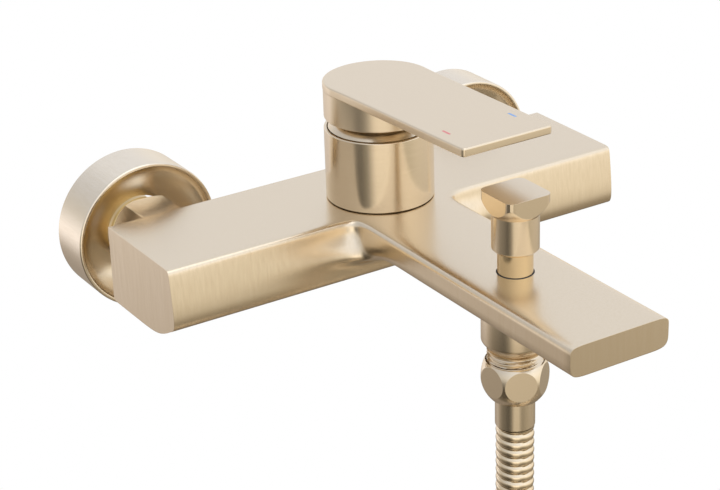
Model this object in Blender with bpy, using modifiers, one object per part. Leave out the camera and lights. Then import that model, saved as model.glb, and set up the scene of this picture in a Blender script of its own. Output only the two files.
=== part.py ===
"""Wall-mounted bath mixer with a lever, a pull-up diverter and a hand-shower hose.

Frame: X runs along the bar, the wall is the plane Y = 0 with the mixer towards -Y, +Z is up.
The origin lies on the wall, midway between the two wall unions. Lengths are in metres.
"""
import math

import bmesh
import bpy
from mathutils import Matrix, Vector

MM = 0.001
GAP = 0.3 * MM                    # clearance between pieces that touch or are assembled together

# ---- driving dimensions ------------------------------------------------------------------------
# bar and spout casting
BAR_HALF = 98.9 * MM              # half length of the bar
BAR_REAR = 34.9 * MM              # distance of its rear face from the wall
BAR_DEPTH = 49.6 * MM             # from the rear face to the front face
BAR_TOP = 15.3 * MM               # top face above the union axis
BAR_HEIGHT = 30.0 * MM
SPOUT_HALF = 20.6 * MM            # half width of the flat spout
SPOUT_REACH = 211.8 * MM          # spout tip from the wall
SPOUT_THICK = 11.5 * MM
FRONT_HEIGHT = 22.1 * MM          # height of the bar's front face
EDGE_ROUND = 4.0 * MM             # rounding along the top edges
SIDE_ROUND = 8.0 * MM             # width of the rounding along the spout's sides
ROOT_FILLET = 10.0 * MM           # blend between bar and spout

# wall unions
UNION_SPACING = 150.0 * MM        # standard centre distance of the supplies
ESC_R = 29.2 * MM                 # escutcheon
ESC_DEPTH = 19.3 * MM
ESC_WALL = 1.5 * MM
WALL_THREAD_R = 10.48 * MM        # G1/2 into the wall
WALL_THREAD_LEN = 18.0 * MM
UNION_THREAD_R = 13.1 * MM        # G3/4 under the coupling nut
UNION_REACH = 25.8 * MM
UNION_BORE_R = 7.0 * MM
NUT_FLATS = 28.0 * MM             # coupling nut, across flats
NUT_REAR = 15.5 * MM              # its rear end from the wall
NUT_LIP = 3.0 * MM
WASHER_THICK = 2.0 * MM

# cartridge tower
TOWER_Y = -67.7 * MM              # vertical axis of lever, sleeve and cartridge
SLEEVE_R = 20.6 * MM
SLEEVE_WALL = 1.2 * MM
SLEEVE_TOP = 43.5 * MM
CARTRIDGE_R = 17.5 * MM           # 35 mm cartridge
CARTRIDGE_NECK_R = 13.8 * MM
CARTRIDGE_BORE_R = 12.3 * MM
CHAMBER_FLOOR = 2.0 * MM
SEAL_THICK = 1.0 * MM
BASE_THICK = 8.4 * MM
DISC_THICK = 3.0 * MM
MOVING_DISC_R = 7.9 * MM
MOVING_DISC_THICK = 4.0 * MM
PORT_RADIUS = 9.0 * MM            # the three water ports stand on this circle
PORT_R = 2.4 * MM
PIVOT_Z = 28.0 * MM               # horizontal lift axis
PIN_R = 1.5 * MM
NECK_TOP = 38.0 * MM
DOME_R = 24.6 * MM                # ball-shaped collar, centred on the lift axis
DOME_WALL = 1.2 * MM
SPINDLE_W = 8.0 * MM              # along X
SPINDLE_T = 7.0 * MM              # along Y
LIFT_ANGLE = math.radians(25.0)

# lever
LEVER_R = 20.6 * MM               # round end
LEVER_TIP = -150.0 * MM
LEVER_TIP_HALF = 18.9 * MM
LEVER_ROOT_HALF = 20.2 * MM
LEVER_BOTTOM = 47.6 * MM
LEVER_TOP = 62.0 * MM             # top face above the tower axis
LEVER_TILT = math.radians(1.6)    # the top rises towards the tip
LEVER_THICK = 3.3 * MM
LEVER_ROOT_Y = -8.6 * MM          # where the paddle's sides leave the round end
LEVER_NECK_R = LEVER_R - 0.15 * MM
LEVER_CAVITY_R = 18.6 * MM
MARK_X = 14.0 * MM
MARK_Y = -133.0 * MM
MARK_SIZE = (0.9 * MM, 4.6 * MM, 0.6 * MM)

# diverter and hose outlet
OUTLET_Y = -154.0 * MM            # common vertical axis of diverter and hose
BONNET_R = 6.35 * MM
BONNET_RING = 0.45 * MM           # open ring around the bonnet
KNOB_R = 8.45 * MM                # round barrel of the knob
KNOB_BOTTOM = 23.8 * MM
KNOB_TOP = 45.6 * MM
KNOB_HALF = 9.3 * MM              # half side of the square head
KNOB_CORNER_R = 12.6 * MM         # the head's flare, corner to axis
KNOB_FLARE = 8.0 * MM             # height of the flare
FLARE_BEND = 1.6                  # 1 is a straight cone, more bulges
STEM_R = 3.0 * MM
DIVERTER_LIFT = 7.0 * MM
TAIL_R = 12.2 * MM
TAIL_BOTTOM = -11.6 * MM
TAIL_THREAD_R = 10.2 * MM
TAIL_END = -25.5 * MM
VALVE_SEAT = -6.0 * MM
VALVE_THICK = 2.0 * MM

# hose
HOSE_D = 14.0 * MM
HOSE_NUT_FLATS = 22.0 * MM
HOSE_NUT_BALL_R = 12.45 * MM      # the nut's corners lie on this ball
HOSE_NUT_Z = -25.0 * MM
HOSE_NUT_TOP = -18.4 * MM
HOSE_NUT_END = -33.6 * MM
FERRULE_R = 7.25 * MM
FERRULE_END = -45.0 * MM
COIL_R = 70.0 * MM                # middle of the coiled turns
COIL_TURNS = 2.9
COIL_START = math.radians(45.0)   # where the strand joins the coil
COIL_CENTRE_Z = -208.0 * MM
CONE_NUT_LEN = 30.0 * MM
CONE_NUT_R = 11.8 * MM
END_FERRULE_LEN = 16.0 * MM

# aerator
AERATOR_Y = -197.0 * MM
AERATOR_R = 11.0 * MM
AERATOR_DEPTH = 5.0 * MM

# ---- materials -----------------------------------------------------------------------------------
FINISHES = {
    "champagne": ((0.60, 0.47, 0.30, 1.0), 0.30, 1.0),
    "brass": ((0.62, 0.45, 0.20, 1.0), 0.35, 1.0),
    "steel": ((0.62, 0.62, 0.63, 1.0), 0.30, 1.0),
    "ceramic": ((0.88, 0.87, 0.84, 1.0), 0.25, 0.0),
    "plastic": ((0.80, 0.80, 0.79, 1.0), 0.45, 0.0),
    "rubber": ((0.03, 0.03, 0.03, 1.0), 0.60, 0.0),
    "red": ((0.72, 0.10, 0.09, 1.0), 0.35, 0.0),
    "blue": ((0.10, 0.25, 0.65, 1.0), 0.35, 0.0),
}

FINE = 32                         # facets of the large round pieces
ROUND = 20
SMALL = 12


# ---- helpers -------------------------------------------------------------------------------------
def start_scene():
    """Empty the scene and make the two collections."""
    for ob in list(bpy.data.objects):
        bpy.data.objects.remove(ob, do_unlink=True)
    made = []
    for name in ("bath_mixer", "cutters"):
        group = bpy.data.collections.new(name)
        bpy.context.scene.collection.children.link(group)
        made.append(group)
    return made


PARTS, CUTTERS = start_scene()


def finish(name):
    """Return the Principled material of a finish."""
    found = bpy.data.materials.get(name)
    if found:
        return found
    color, roughness, metallic = FINISHES[name]
    mat = bpy.data.materials.new(name)
    mat.use_nodes = True
    shader = mat.node_tree.nodes["Principled BSDF"]
    shader.inputs["Base Color"].default_value = color
    shader.inputs["Roughness"].default_value = roughness
    shader.inputs["Metallic"].default_value = metallic
    return mat


def add(name, mesh, look, place=Matrix.Identity(4)):
    """Link a mesh as a part (look is a finish) or as a cutter (look is None)."""
    ob = bpy.data.objects.new(name, mesh)
    ob.matrix_world = place
    if look is None:
        CUTTERS.objects.link(ob)
        ob.hide_render = True
        ob.display_type = "WIRE"
    else:
        PARTS.objects.link(ob)
        mesh.materials.clear()
        mesh.materials.append(finish(look))
    return ob


def at(x=0.0, y=0.0, z=0.0):
    """Placement by a shift."""
    return Matrix.Translation((x, y, z))


def off_wall(x, z=0.0):
    """Placement that turns local +Z away from the wall, at (x, 0, z)."""
    return at(x, 0.0, z) @ Matrix.Rotation(math.radians(90.0), 4, "X")


def along(start, direction):
    """Placement with local +Z along a direction."""
    return Matrix.Translation(start) @ direction.to_track_quat("Z", "Y").to_matrix().to_4x4()


def turned(name, outline, look, place=Matrix.Identity(4), steps=ROUND):
    """Turn a section about local Z.

    The outline's (radius, height) points run down the outer side. It closes on itself as a
    ring unless it starts and ends on the axis.
    """
    mesh = bpy.data.meshes.new(name)
    rim = [(r, 0.0, h) for r, h in outline]
    edges = [(i, i + 1) for i in range(len(rim) - 1)]
    if outline[0][0] > 0.0:
        edges.append((len(rim) - 1, 0))
    mesh.from_pydata(rim, edges, [])
    # half a facet of turn keeps corners off the planes of symmetry
    ob = add(name, mesh, look, place @ Matrix.Rotation(math.pi / steps, 4, "Z"))
    screw = ob.modifiers.new("Turn", "SCREW")
    screw.steps = screw.render_steps = steps
    screw.use_merge_vertices = True
    screw.merge_threshold = 1e-5
    screw.use_smooth_shade = False
    return ob


def ring(name, r_in, r_out, low, high, look, place=Matrix.Identity(4), steps=ROUND, edge=0.0):
    """Plain ring with optional chamfers on its outer edges."""
    outline = [(r_in, high), (r_out - edge, high), (r_out, high - edge),
               (r_out, low + edge), (r_out - edge, low), (r_in, low)]
    if edge == 0.0:
        outline = [(r_in, high), (r_out, high), (r_out, low), (r_in, low)]
    return turned(name, outline, look, place, steps)


def rod(name, radius, low, high, look, place=Matrix.Identity(4), steps=ROUND, edge=0.0):
    """Round bar about local Z with optional chamfers."""
    outline = [(0.0, high), (radius - edge, high), (radius, high - edge),
               (radius, low + edge), (radius - edge, low), (0.0, low)]
    if edge == 0.0:
        outline = [(0.0, high), (radius, high), (radius, low), (0.0, low)]
    return turned(name, outline, look, place, steps)


def block(name, low, high, look, place=Matrix.Identity(4)):
    """Box between two corners."""
    shape = bmesh.new()
    bmesh.ops.create_cube(shape, size=1.0)
    size = [b - a for a, b in zip(low, high)]
    middle = [(a + b) / 2 for a, b in zip(low, high)]
    bmesh.ops.scale(shape, vec=size, verts=shape.verts)
    bmesh.ops.translate(shape, vec=middle, verts=shape.verts)
    mesh = bpy.data.meshes.new(name)
    shape.to_mesh(mesh)
    shape.free()
    return add(name, mesh, look, place)


def prism(name, sides, flats, low, high, look, place=Matrix.Identity(4), turn=0.0):
    """Regular prism, given across its flats; one flat faces local -Y turned by an angle."""
    shape = bmesh.new()
    radius = flats / 2 / math.cos(math.pi / sides)
    bmesh.ops.create_cone(shape, cap_ends=True, segments=sides, radius1=radius, radius2=radius,
                          depth=high - low)
    spin = Matrix.Rotation(turn + math.pi / sides, 4, "Z")
    bmesh.ops.transform(shape, matrix=at(z=(low + high) / 2) @ spin, verts=shape.verts)
    mesh = bpy.data.meshes.new(name)
    shape.to_mesh(mesh)
    shape.free()
    return add(name, mesh, look, place)


def to_mesh(ob, look):
    """Replace a curve object by its welded mesh."""
    graph = bpy.context.evaluated_depsgraph_get()
    mesh = bpy.data.meshes.new_from_object(ob.evaluated_get(graph))
    shape = bmesh.new()
    shape.from_mesh(mesh)
    bmesh.ops.remove_doubles(shape, verts=shape.verts, dist=1e-6)
    shape.to_mesh(mesh)
    shape.free()
    name, place = ob.name, ob.matrix_world.copy()
    bpy.data.objects.remove(ob, do_unlink=True)
    return add(name, mesh, look, place)


def slab(name, outline, low, high, look, place=Matrix.Identity(4)):
    """Flat outline in XY, from one height to another."""
    curve = bpy.data.curves.new(name, "CURVE")
    curve.dimensions = "2D"
    curve.fill_mode = "BOTH"
    curve.extrude = (high - low) / 2
    spline = curve.splines.new("POLY")
    spline.points.add(len(outline) - 1)
    for point, (x, y) in zip(spline.points, outline):
        point.co = (x, y, 0.0, 1.0)
    spline.use_cyclic_u = True
    ob = bpy.data.objects.new(name, curve)
    bpy.context.scene.collection.objects.link(ob)
    ob.matrix_world = place @ at(z=(low + high) / 2)
    bpy.context.view_layer.update()
    return to_mesh(ob, look)


def wire(name, points, radius, look, sides=2):
    """Tube along points, with filled ends."""
    curve = bpy.data.curves.new(name, "CURVE")
    curve.dimensions = "3D"
    curve.bevel_depth = radius
    curve.bevel_resolution = sides
    curve.use_fill_caps = True
    spline = curve.splines.new("POLY")
    spline.points.add(len(points) - 1)
    for point, co in zip(spline.points, points):
        point.co = (*co, 1.0)
    ob = bpy.data.objects.new(name, curve)
    bpy.context.scene.collection.objects.link(ob)
    bpy.context.view_layer.update()
    return to_mesh(ob, look)


def boolean(ob, operation, *others, solver="EXACT"):
    """Add a Boolean for each other object."""
    for other in others:
        step = ob.modifiers.new(other.name, "BOOLEAN")
        step.operation = operation
        step.solver = solver
        step.object = other
    return ob


def cut(ob, *others, solver="EXACT"):
    """Subtract cutters."""
    return boolean(ob, "DIFFERENCE", *others, solver=solver)


def arc(centre, radius, start, end, steps):
    """Points of an arc in XY, ends included."""
    angles = [math.radians(start + (end - start) * i / steps) for i in range(steps + 1)]
    return [(centre[0] + radius * math.cos(a), centre[1] + radius * math.sin(a)) for a in angles]


# ---- casting -------------------------------------------------------------------------------------
BAR_FRONT = -(BAR_REAR + BAR_DEPTH)
BAR_BOTTOM = BAR_TOP - BAR_HEIGHT
SPOUT_BOTTOM = BAR_TOP - SPOUT_THICK
UNION_X = UNION_SPACING / 2
TAIL_LIP = 4.3 * MM               # body tail between the bar and its flange
FLANGE_R = 12.9 * MM
FLANGE_THICK = 2.2 * MM
BOSS_R = SLEEVE_R - SLEEVE_WALL - 0.4 * MM
BOSS_TOP = 30.0 * MM
CHAMBER_R = CARTRIDGE_R + 0.4 * MM
SPOUT_WAY_R = 3.6 * MM            # waterway along the spout
SPOUT_WAY_Z = (BAR_TOP + SPOUT_BOTTOM) / 2
PORTS = {
    "hot": (-PORT_RADIUS * math.sin(math.radians(60.0)), TOWER_Y + PORT_RADIUS / 2),
    "cold": (PORT_RADIUS * math.sin(math.radians(60.0)), TOWER_Y + PORT_RADIUS / 2),
    "mixed": (0.0, TOWER_Y - PORT_RADIUS),
}
SUPPLIES = ("hot", "cold")        # ports in the chamber floor; mixed water leaves sideways


def casting_cage():
    """Coarse cage of the bar with its spout; subdivision rounds and blends it."""
    xs = [0.0, SPOUT_HALF - SIDE_ROUND, SPOUT_HALF, SPOUT_HALF + ROOT_FILLET,
          BAR_HALF - EDGE_ROUND, BAR_HALF]
    xs = [-x for x in reversed(xs[1:])] + xs
    ys = [-BAR_REAR, -BAR_REAR - 3.0 * MM, -BAR_REAR - 0.5 * BAR_DEPTH, BAR_FRONT + EDGE_ROUND,
          BAR_FRONT, BAR_FRONT - ROOT_FILLET, BAR_FRONT - 3.2 * ROOT_FILLET,
          (BAR_FRONT - SPOUT_REACH) / 2 - ROOT_FILLET, -SPOUT_REACH]
    zs = [BAR_BOTTOM, BAR_BOTTOM + 3.2 * MM, BAR_TOP - FRONT_HEIGHT, (SPOUT_BOTTOM + BAR_TOP - FRONT_HEIGHT) / 2,
          SPOUT_BOTTOM, (BAR_TOP + SPOUT_BOTTOM) / 2, BAR_TOP - EDGE_ROUND + MM, BAR_TOP]
    front, spout_low = 4, 4
    # shifts of the section's corners: the bar's front bulges and leans back above its lower edge,
    # and a wide sweep runs under that edge
    section = {(front, 0): (7.0 * MM, 3.3 * MM), (front - 1, 0): (10.5 * MM, 0.1 * MM),
               (front, 1): (3.0 * MM, 2.6 * MM), (front - 2, 0): (3.0 * MM, 0.0),
               (front - 1, 1): (9.0 * MM, 2.6 * MM), (front - 1, 2): (2.0 * MM, 0.0),
               (front, 2): (-0.1 * MM, -MM), (front, 4): (0.5 * MM, 0.0), (front, 5): (1.2 * MM, 0.0),
               (front, 6): (1.6 * MM, 0.0), (front, 7): (2.1 * MM, 0.0), (front - 1, 7): (MM, 0.0)}
    # under the spout the sweep goes on outwards and meets the spout's lower face
    root = {(front, spout_low): (-7.0 * MM, -4.0 * MM), (front + 1, spout_low): (-5.0 * MM, 0.4 * MM)}

    def filled(i, j, k):
        if not (0 <= i < len(xs) - 1 and 0 <= j < len(ys) - 1 and 0 <= k < len(zs) - 1):
            return False
        if j < front:
            return True
        return k >= spout_low and max(abs(xs[i]), abs(xs[i + 1])) <= SPOUT_HALF + 1e-6

    shape = bmesh.new()
    corners = {}

    def corner(i, j, k):
        if (i, j, k) not in corners:
            dy, dz = section.get((j, k), (0.0, 0.0))
            if abs(xs[i]) <= SPOUT_HALF + 1e-6:
                dy, dz = root.get((j, k), (dy, dz))
            corners[i, j, k] = shape.verts.new((xs[i], ys[j] + dy, zs[k] + dz))
        return corners[i, j, k]

    sides = {
        (-1, 0, 0): ((0, 0, 0), (0, 0, 1), (0, 1, 1), (0, 1, 0)),
        (1, 0, 0): ((1, 0, 0), (1, 1, 0), (1, 1, 1), (1, 0, 1)),
        (0, -1, 0): ((0, 0, 0), (1, 0, 0), (1, 0, 1), (0, 0, 1)),
        (0, 1, 0): ((0, 1, 0), (0, 1, 1), (1, 1, 1), (1, 1, 0)),
        (0, 0, -1): ((0, 0, 0), (0, 1, 0), (1, 1, 0), (1, 0, 0)),
        (0, 0, 1): ((0, 0, 1), (1, 0, 1), (1, 1, 1), (0, 1, 1)),
    }
    for i in range(len(xs) - 1):
        for j in range(len(ys) - 1):
            for k in range(len(zs) - 1):
                if not filled(i, j, k):
                    continue
                for (di, dj, dk), loop in sides.items():
                    if not filled(i + di, j + dj, k + dk):
                        shape.faces.new([corner(i + a, j + b, k + c) for a, b, c in loop])
    bmesh.ops.recalc_face_normals(shape, faces=shape.faces)
    crease = shape.edges.layers.float.new("crease_edge")
    for edge in shape.edges:
        a, b = (v.co for v in edge.verts)
        on_end = all(abs(abs(p.x) - BAR_HALF) < 1e-6 for p in (a, b))
        on_tip = all(abs(p.y + SPOUT_REACH) < 1e-6 for p in (a, b))
        on_back = all(abs(p.y + BAR_REAR) < 1e-6 and abs(p.z - BAR_TOP) < 1e-6 for p in (a, b))
        rim = len({tuple(round(n, 3) for n in f.normal) for f in edge.link_faces}) > 1
        if on_back or ((on_end or on_tip) and rim):
            edge[crease] = 1.0
    mesh = bpy.data.meshes.new("mixer_body")
    shape.to_mesh(mesh)
    shape.free()
    return mesh


def make_casting():
    """Bar, spout and cartridge boss in one casting, with its waterways."""
    body = add("mixer_body", casting_cage(), "champagne")
    smooth = body.modifiers.new("Round", "SUBSURF")
    smooth.levels = smooth.render_levels = 2
    flange_end = BAR_REAR - TAIL_LIP - FLANGE_THICK
    tower = at(y=TOWER_Y)
    boss = rod("boss", BOSS_R, BAR_TOP - 3.0 * MM, BOSS_TOP, None, tower, FINE)
    boolean(body, "UNION", boss)
    for x in (-UNION_X, UNION_X):
        tail = turned("tail", [(0.0, BAR_REAR + 2.0 * MM), (9.6 * MM, BAR_REAR + 2.0 * MM),
                               (9.6 * MM, flange_end + FLANGE_THICK), (FLANGE_R, flange_end + FLANGE_THICK),
                               (FLANGE_R, flange_end), (0.0, flange_end)], None, off_wall(x))
        boolean(body, "UNION", tail)
    channel_z = BAR_BOTTOM + 9.6 * MM
    holes = [rod("chamber", CHAMBER_R, CHAMBER_FLOOR, BOSS_TOP + MM, None, tower, FINE),
             rod("diverter_bore", BONNET_R + BONNET_RING, SPOUT_BOTTOM - MM, BAR_TOP + MM, None,
                 at(y=OUTLET_Y)),
             rod("aerator_bore", AERATOR_R + GAP, SPOUT_BOTTOM - MM, SPOUT_BOTTOM + AERATOR_DEPTH,
                 None, at(y=AERATOR_Y))]
    for name in SUPPLIES:
        holes.append(rod(name + "_port", PORT_R + 0.4 * MM, channel_z, CHAMBER_FLOOR + MM, None,
                         at(*PORTS[name]), SMALL))
    for side in (-1, 1):
        port_x, port_y = PORTS["cold"]
        holes.append(rod("inlet", UNION_BORE_R, flange_end - MM, -port_y, None,
                         off_wall(side * UNION_X), SMALL))
        holes.append(rod("supply", 4.6 * MM, port_x - MM, UNION_X, None,
                         at(y=port_y, z=channel_z) @ Matrix.Rotation(side * math.pi / 2, 4, "Y"), SMALL))
    holes.append(rod("spout_channel", SPOUT_WAY_R, CHAMBER_R - TOWER_Y - 2.0 * MM, -AERATOR_Y, None,
                     off_wall(0.0, SPOUT_WAY_Z), SMALL))
    cut(body, *holes, solver="MANIFOLD")
    flat = body.modifiers.new("Flatten", "DECIMATE")
    flat.decimate_type = "DISSOLVE"
    flat.angle_limit = math.radians(0.2)


# ---- wall unions ---------------------------------------------------------------------------------
def make_union(side, x):
    """One supply: escutcheon, wall union, washer and coupling nut."""
    place = off_wall(x)
    hole = UNION_THREAD_R + 0.4 * MM
    rim = 0.8 * MM
    floor = 0.42 * ESC_DEPTH
    inner = ESC_R - ESC_WALL
    bowl = [(hole, floor + ESC_WALL * 2)]
    for i in range(1, 4):
        a = math.radians(90.0) * i / 4
        bowl.append((hole + (inner - hole) * math.sin(a),
                     floor + ESC_WALL * 2 + (ESC_DEPTH - floor - ESC_WALL * 2) * (1 - math.cos(a))))
    outline = bowl + [(inner, ESC_DEPTH), (ESC_R - rim, ESC_DEPTH), (ESC_R, ESC_DEPTH - rim), (ESC_R, 0.0),
                      (inner, 0.0), (inner, floor), (hole, floor)]
    turned("escutcheon_" + side, outline, "champagne", place, FINE)
    thread_end = WALL_THREAD_LEN
    seat = 12.0 * MM
    turned("wall_union_" + side, [
        (UNION_BORE_R, UNION_REACH), (UNION_THREAD_R - 0.8 * MM, UNION_REACH),
        (UNION_THREAD_R, UNION_REACH - 0.8 * MM), (UNION_THREAD_R, seat),
        (UNION_THREAD_R - 1.5 * MM, seat - 1.5 * MM), (UNION_THREAD_R - 1.5 * MM, 0.0),
        (WALL_THREAD_R, -0.5 * MM), (WALL_THREAD_R, 1.0 * MM - thread_end),
        (WALL_THREAD_R - MM, -thread_end), (UNION_BORE_R, -thread_end)], "brass", place)
    nut_front = BAR_REAR - 0.5 * MM
    nut = prism("coupling_nut_" + side, 6, NUT_FLATS, NUT_REAR, nut_front, "champagne", place)
    corner = NUT_FLATS / 2 / math.cos(math.pi / 6)
    rounding = turned("nut_rounding", [
        (0.0, nut_front), (corner - 1.6 * MM, nut_front), (corner + 0.2 * MM, nut_front - 2.4 * MM),
        (corner + 0.2 * MM, NUT_REAR + 2.4 * MM), (corner - 1.6 * MM, NUT_REAR), (0.0, NUT_REAR)], None, place)
    boolean(nut, "INTERSECT", rounding)
    lip = nut_front - NUT_LIP
    cut(nut, turned("nut_bore", [
        (0.0, nut_front + MM), (9.6 * MM + 0.4 * MM, nut_front + MM), (9.6 * MM + 0.4 * MM, lip),
        (hole, lip), (hole, NUT_REAR - MM), (0.0, NUT_REAR - MM)], None, place))
    ring("union_washer_" + side, UNION_BORE_R + 0.5 * MM, FLANGE_R, UNION_REACH + GAP,
         UNION_REACH + GAP + WASHER_THICK, "rubber", place)


# ---- cartridge tower -----------------------------------------------------------------------------
SEAL_LOW = CHAMBER_FLOOR + GAP
BASE_LOW = SEAL_LOW + SEAL_THICK + GAP
BASE_HIGH = BASE_LOW + BASE_THICK
FIXED_LOW = BASE_HIGH + GAP
FIXED_HIGH = FIXED_LOW + DISC_THICK
MOVING_LOW = FIXED_HIGH + GAP
MOVING_HIGH = MOVING_LOW + MOVING_DISC_THICK
SPINDLE_LOW = MOVING_HIGH - 1.2 * MM
SHOULDER_Z = BOSS_TOP - 2.0 * MM


def make_cartridge():
    """The 35 mm ceramic cartridge, its seals and the nut that holds it."""
    tower = at(y=TOWER_Y)
    base = rod("cartridge_base", CARTRIDGE_R, BASE_LOW, BASE_HIGH, "plastic", tower, FINE)
    fixed = rod("fixed_disc", CARTRIDGE_BORE_R - GAP, FIXED_LOW, FIXED_HIGH, "ceramic", tower)
    for name, (x, y) in PORTS.items():
        port = rod(name + "_way", PORT_R, BASE_LOW - MM, FIXED_HIGH + MM, None, at(x, y), SMALL)
        cut(base, port)
        cut(fixed, port)
        if name not in SUPPLIES:
            cut(base, rod("side_way", SPOUT_WAY_R - 0.6 * MM, -y, CARTRIDGE_R - TOWER_Y + MM, None,
                          off_wall(x, SPOUT_WAY_Z), SMALL))
            continue
        ring("port_seal_" + name, PORT_R + 0.5 * MM, PORT_R + 1.7 * MM, SEAL_LOW, SEAL_LOW + SEAL_THICK,
             "rubber", at(x, y), SMALL)
    turned("cartridge_housing", [
        (CARTRIDGE_BORE_R, NECK_TOP), (CARTRIDGE_NECK_R, NECK_TOP), (CARTRIDGE_NECK_R, SHOULDER_Z),
        (CARTRIDGE_R, SHOULDER_Z), (CARTRIDGE_R, BASE_HIGH + GAP), (CARTRIDGE_BORE_R, BASE_HIGH + GAP)],
        "plastic", tower, FINE)
    nut_top = BOSS_TOP + 6.8 * MM
    nut = turned("retaining_nut", [
        (CARTRIDGE_NECK_R + GAP, nut_top), (BOSS_R, nut_top), (BOSS_R, BOSS_TOP + GAP),
        (CARTRIDGE_R, BOSS_TOP + GAP), (CARTRIDGE_R, SHOULDER_Z + GAP),
        (CARTRIDGE_NECK_R + GAP, SHOULDER_Z + GAP)], "brass", tower, FINE)
    for i in range(4):
        notch = block("notch", (BOSS_R - 2.5 * MM, -1.5 * MM, nut_top - 3.0 * MM),
                      (BOSS_R + MM, 1.5 * MM, nut_top + MM), None,
                      tower @ Matrix.Rotation(math.pi / 4 + math.pi / 2 * i, 4, "Z"))
        cut(nut, notch)
    rim = 0.5 * MM
    turned("cartridge_sleeve", [
        (SLEEVE_R - SLEEVE_WALL, SLEEVE_TOP), (SLEEVE_R - rim, SLEEVE_TOP), (SLEEVE_R, SLEEVE_TOP - rim),
        (SLEEVE_R, BAR_TOP + GAP), (SLEEVE_R - SLEEVE_WALL, BAR_TOP + GAP)], "champagne", tower, FINE)
    return nut_top


def make_turning_parts(nut_top):
    """What turns with the lever: dome collar, carrier, pin and the moving disc."""
    tower = at(y=TOWER_Y)
    skirt = SLEEVE_R - SLEEVE_WALL - GAP
    start = math.degrees(math.acos(skirt / DOME_R))
    dome = [(0.0, DOME_R)]
    steps = 4
    dome += arc((0.0, 0.0), DOME_R, 90.0 - (90.0 - start) / steps, start, steps - 1)
    inner = DOME_R - DOME_WALL
    inner_skirt = skirt - DOME_WALL
    inner_start = math.degrees(math.acos(inner_skirt / inner))
    low = nut_top + GAP - PIVOT_Z
    dome += [(skirt, low), (inner_skirt, low)]
    dome += arc((0.0, 0.0), inner, inner_start, 90.0 - (90.0 - inner_start) / steps, steps - 1)
    dome.append((0.0, inner))
    collar = turned("dome_collar", dome, "champagne", at(y=TOWER_Y, z=PIVOT_Z), FINE)
    reach = DOME_R * math.sin(LIFT_ANGLE) + SPINDLE_T / 2 + MM
    cut(collar, block("dome_slot", (-SPINDLE_W / 2 - 0.5 * MM, -SPINDLE_T / 2 - 0.8 * MM, inner * 0.5),
                      (SPINDLE_W / 2 + 0.5 * MM, reach, DOME_R + MM), None, at(y=TOWER_Y, z=PIVOT_Z)))
    carrier = rod("cartridge_carrier", CARTRIDGE_BORE_R - GAP, MOVING_HIGH + 0.4 * MM, PIVOT_Z + 6.0 * MM,
                  "plastic", tower)
    half = SPINDLE_T / 2
    below = (PIVOT_Z - MOVING_HIGH) * math.tan(LIFT_ANGLE) + half + 0.3 * MM
    above = 6.0 * MM * math.tan(LIFT_ANGLE) + half / math.cos(LIFT_ANGLE) + 0.5 * MM
    cut(carrier,
        block("carrier_slot", (-SPINDLE_W / 2 - 0.4 * MM, TOWER_Y - below, MOVING_HIGH - MM),
              (SPINDLE_W / 2 + 0.4 * MM, TOWER_Y + above, PIVOT_Z + 7.0 * MM), None),
        rod("pin_hole", PIN_R + GAP, -14.0 * MM, 14.0 * MM, None,
            at(y=TOWER_Y, z=PIVOT_Z) @ Matrix.Rotation(math.pi / 2, 4, "Y"), SMALL))
    rod("pivot_pin", PIN_R, -11.0 * MM, 11.0 * MM, "steel",
        at(y=TOWER_Y, z=PIVOT_Z) @ Matrix.Rotation(math.pi / 2, 4, "Y"), SMALL)
    disc = rod("moving_disc", MOVING_DISC_R, MOVING_LOW, MOVING_HIGH, "ceramic", tower)
    cut(disc, block("disc_pocket", (-3.9 * MM, TOWER_Y - 2.6 * MM, SPINDLE_LOW - 0.6 * MM),
                    (3.9 * MM, TOWER_Y + 2.6 * MM, MOVING_HIGH + MM), None))


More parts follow.
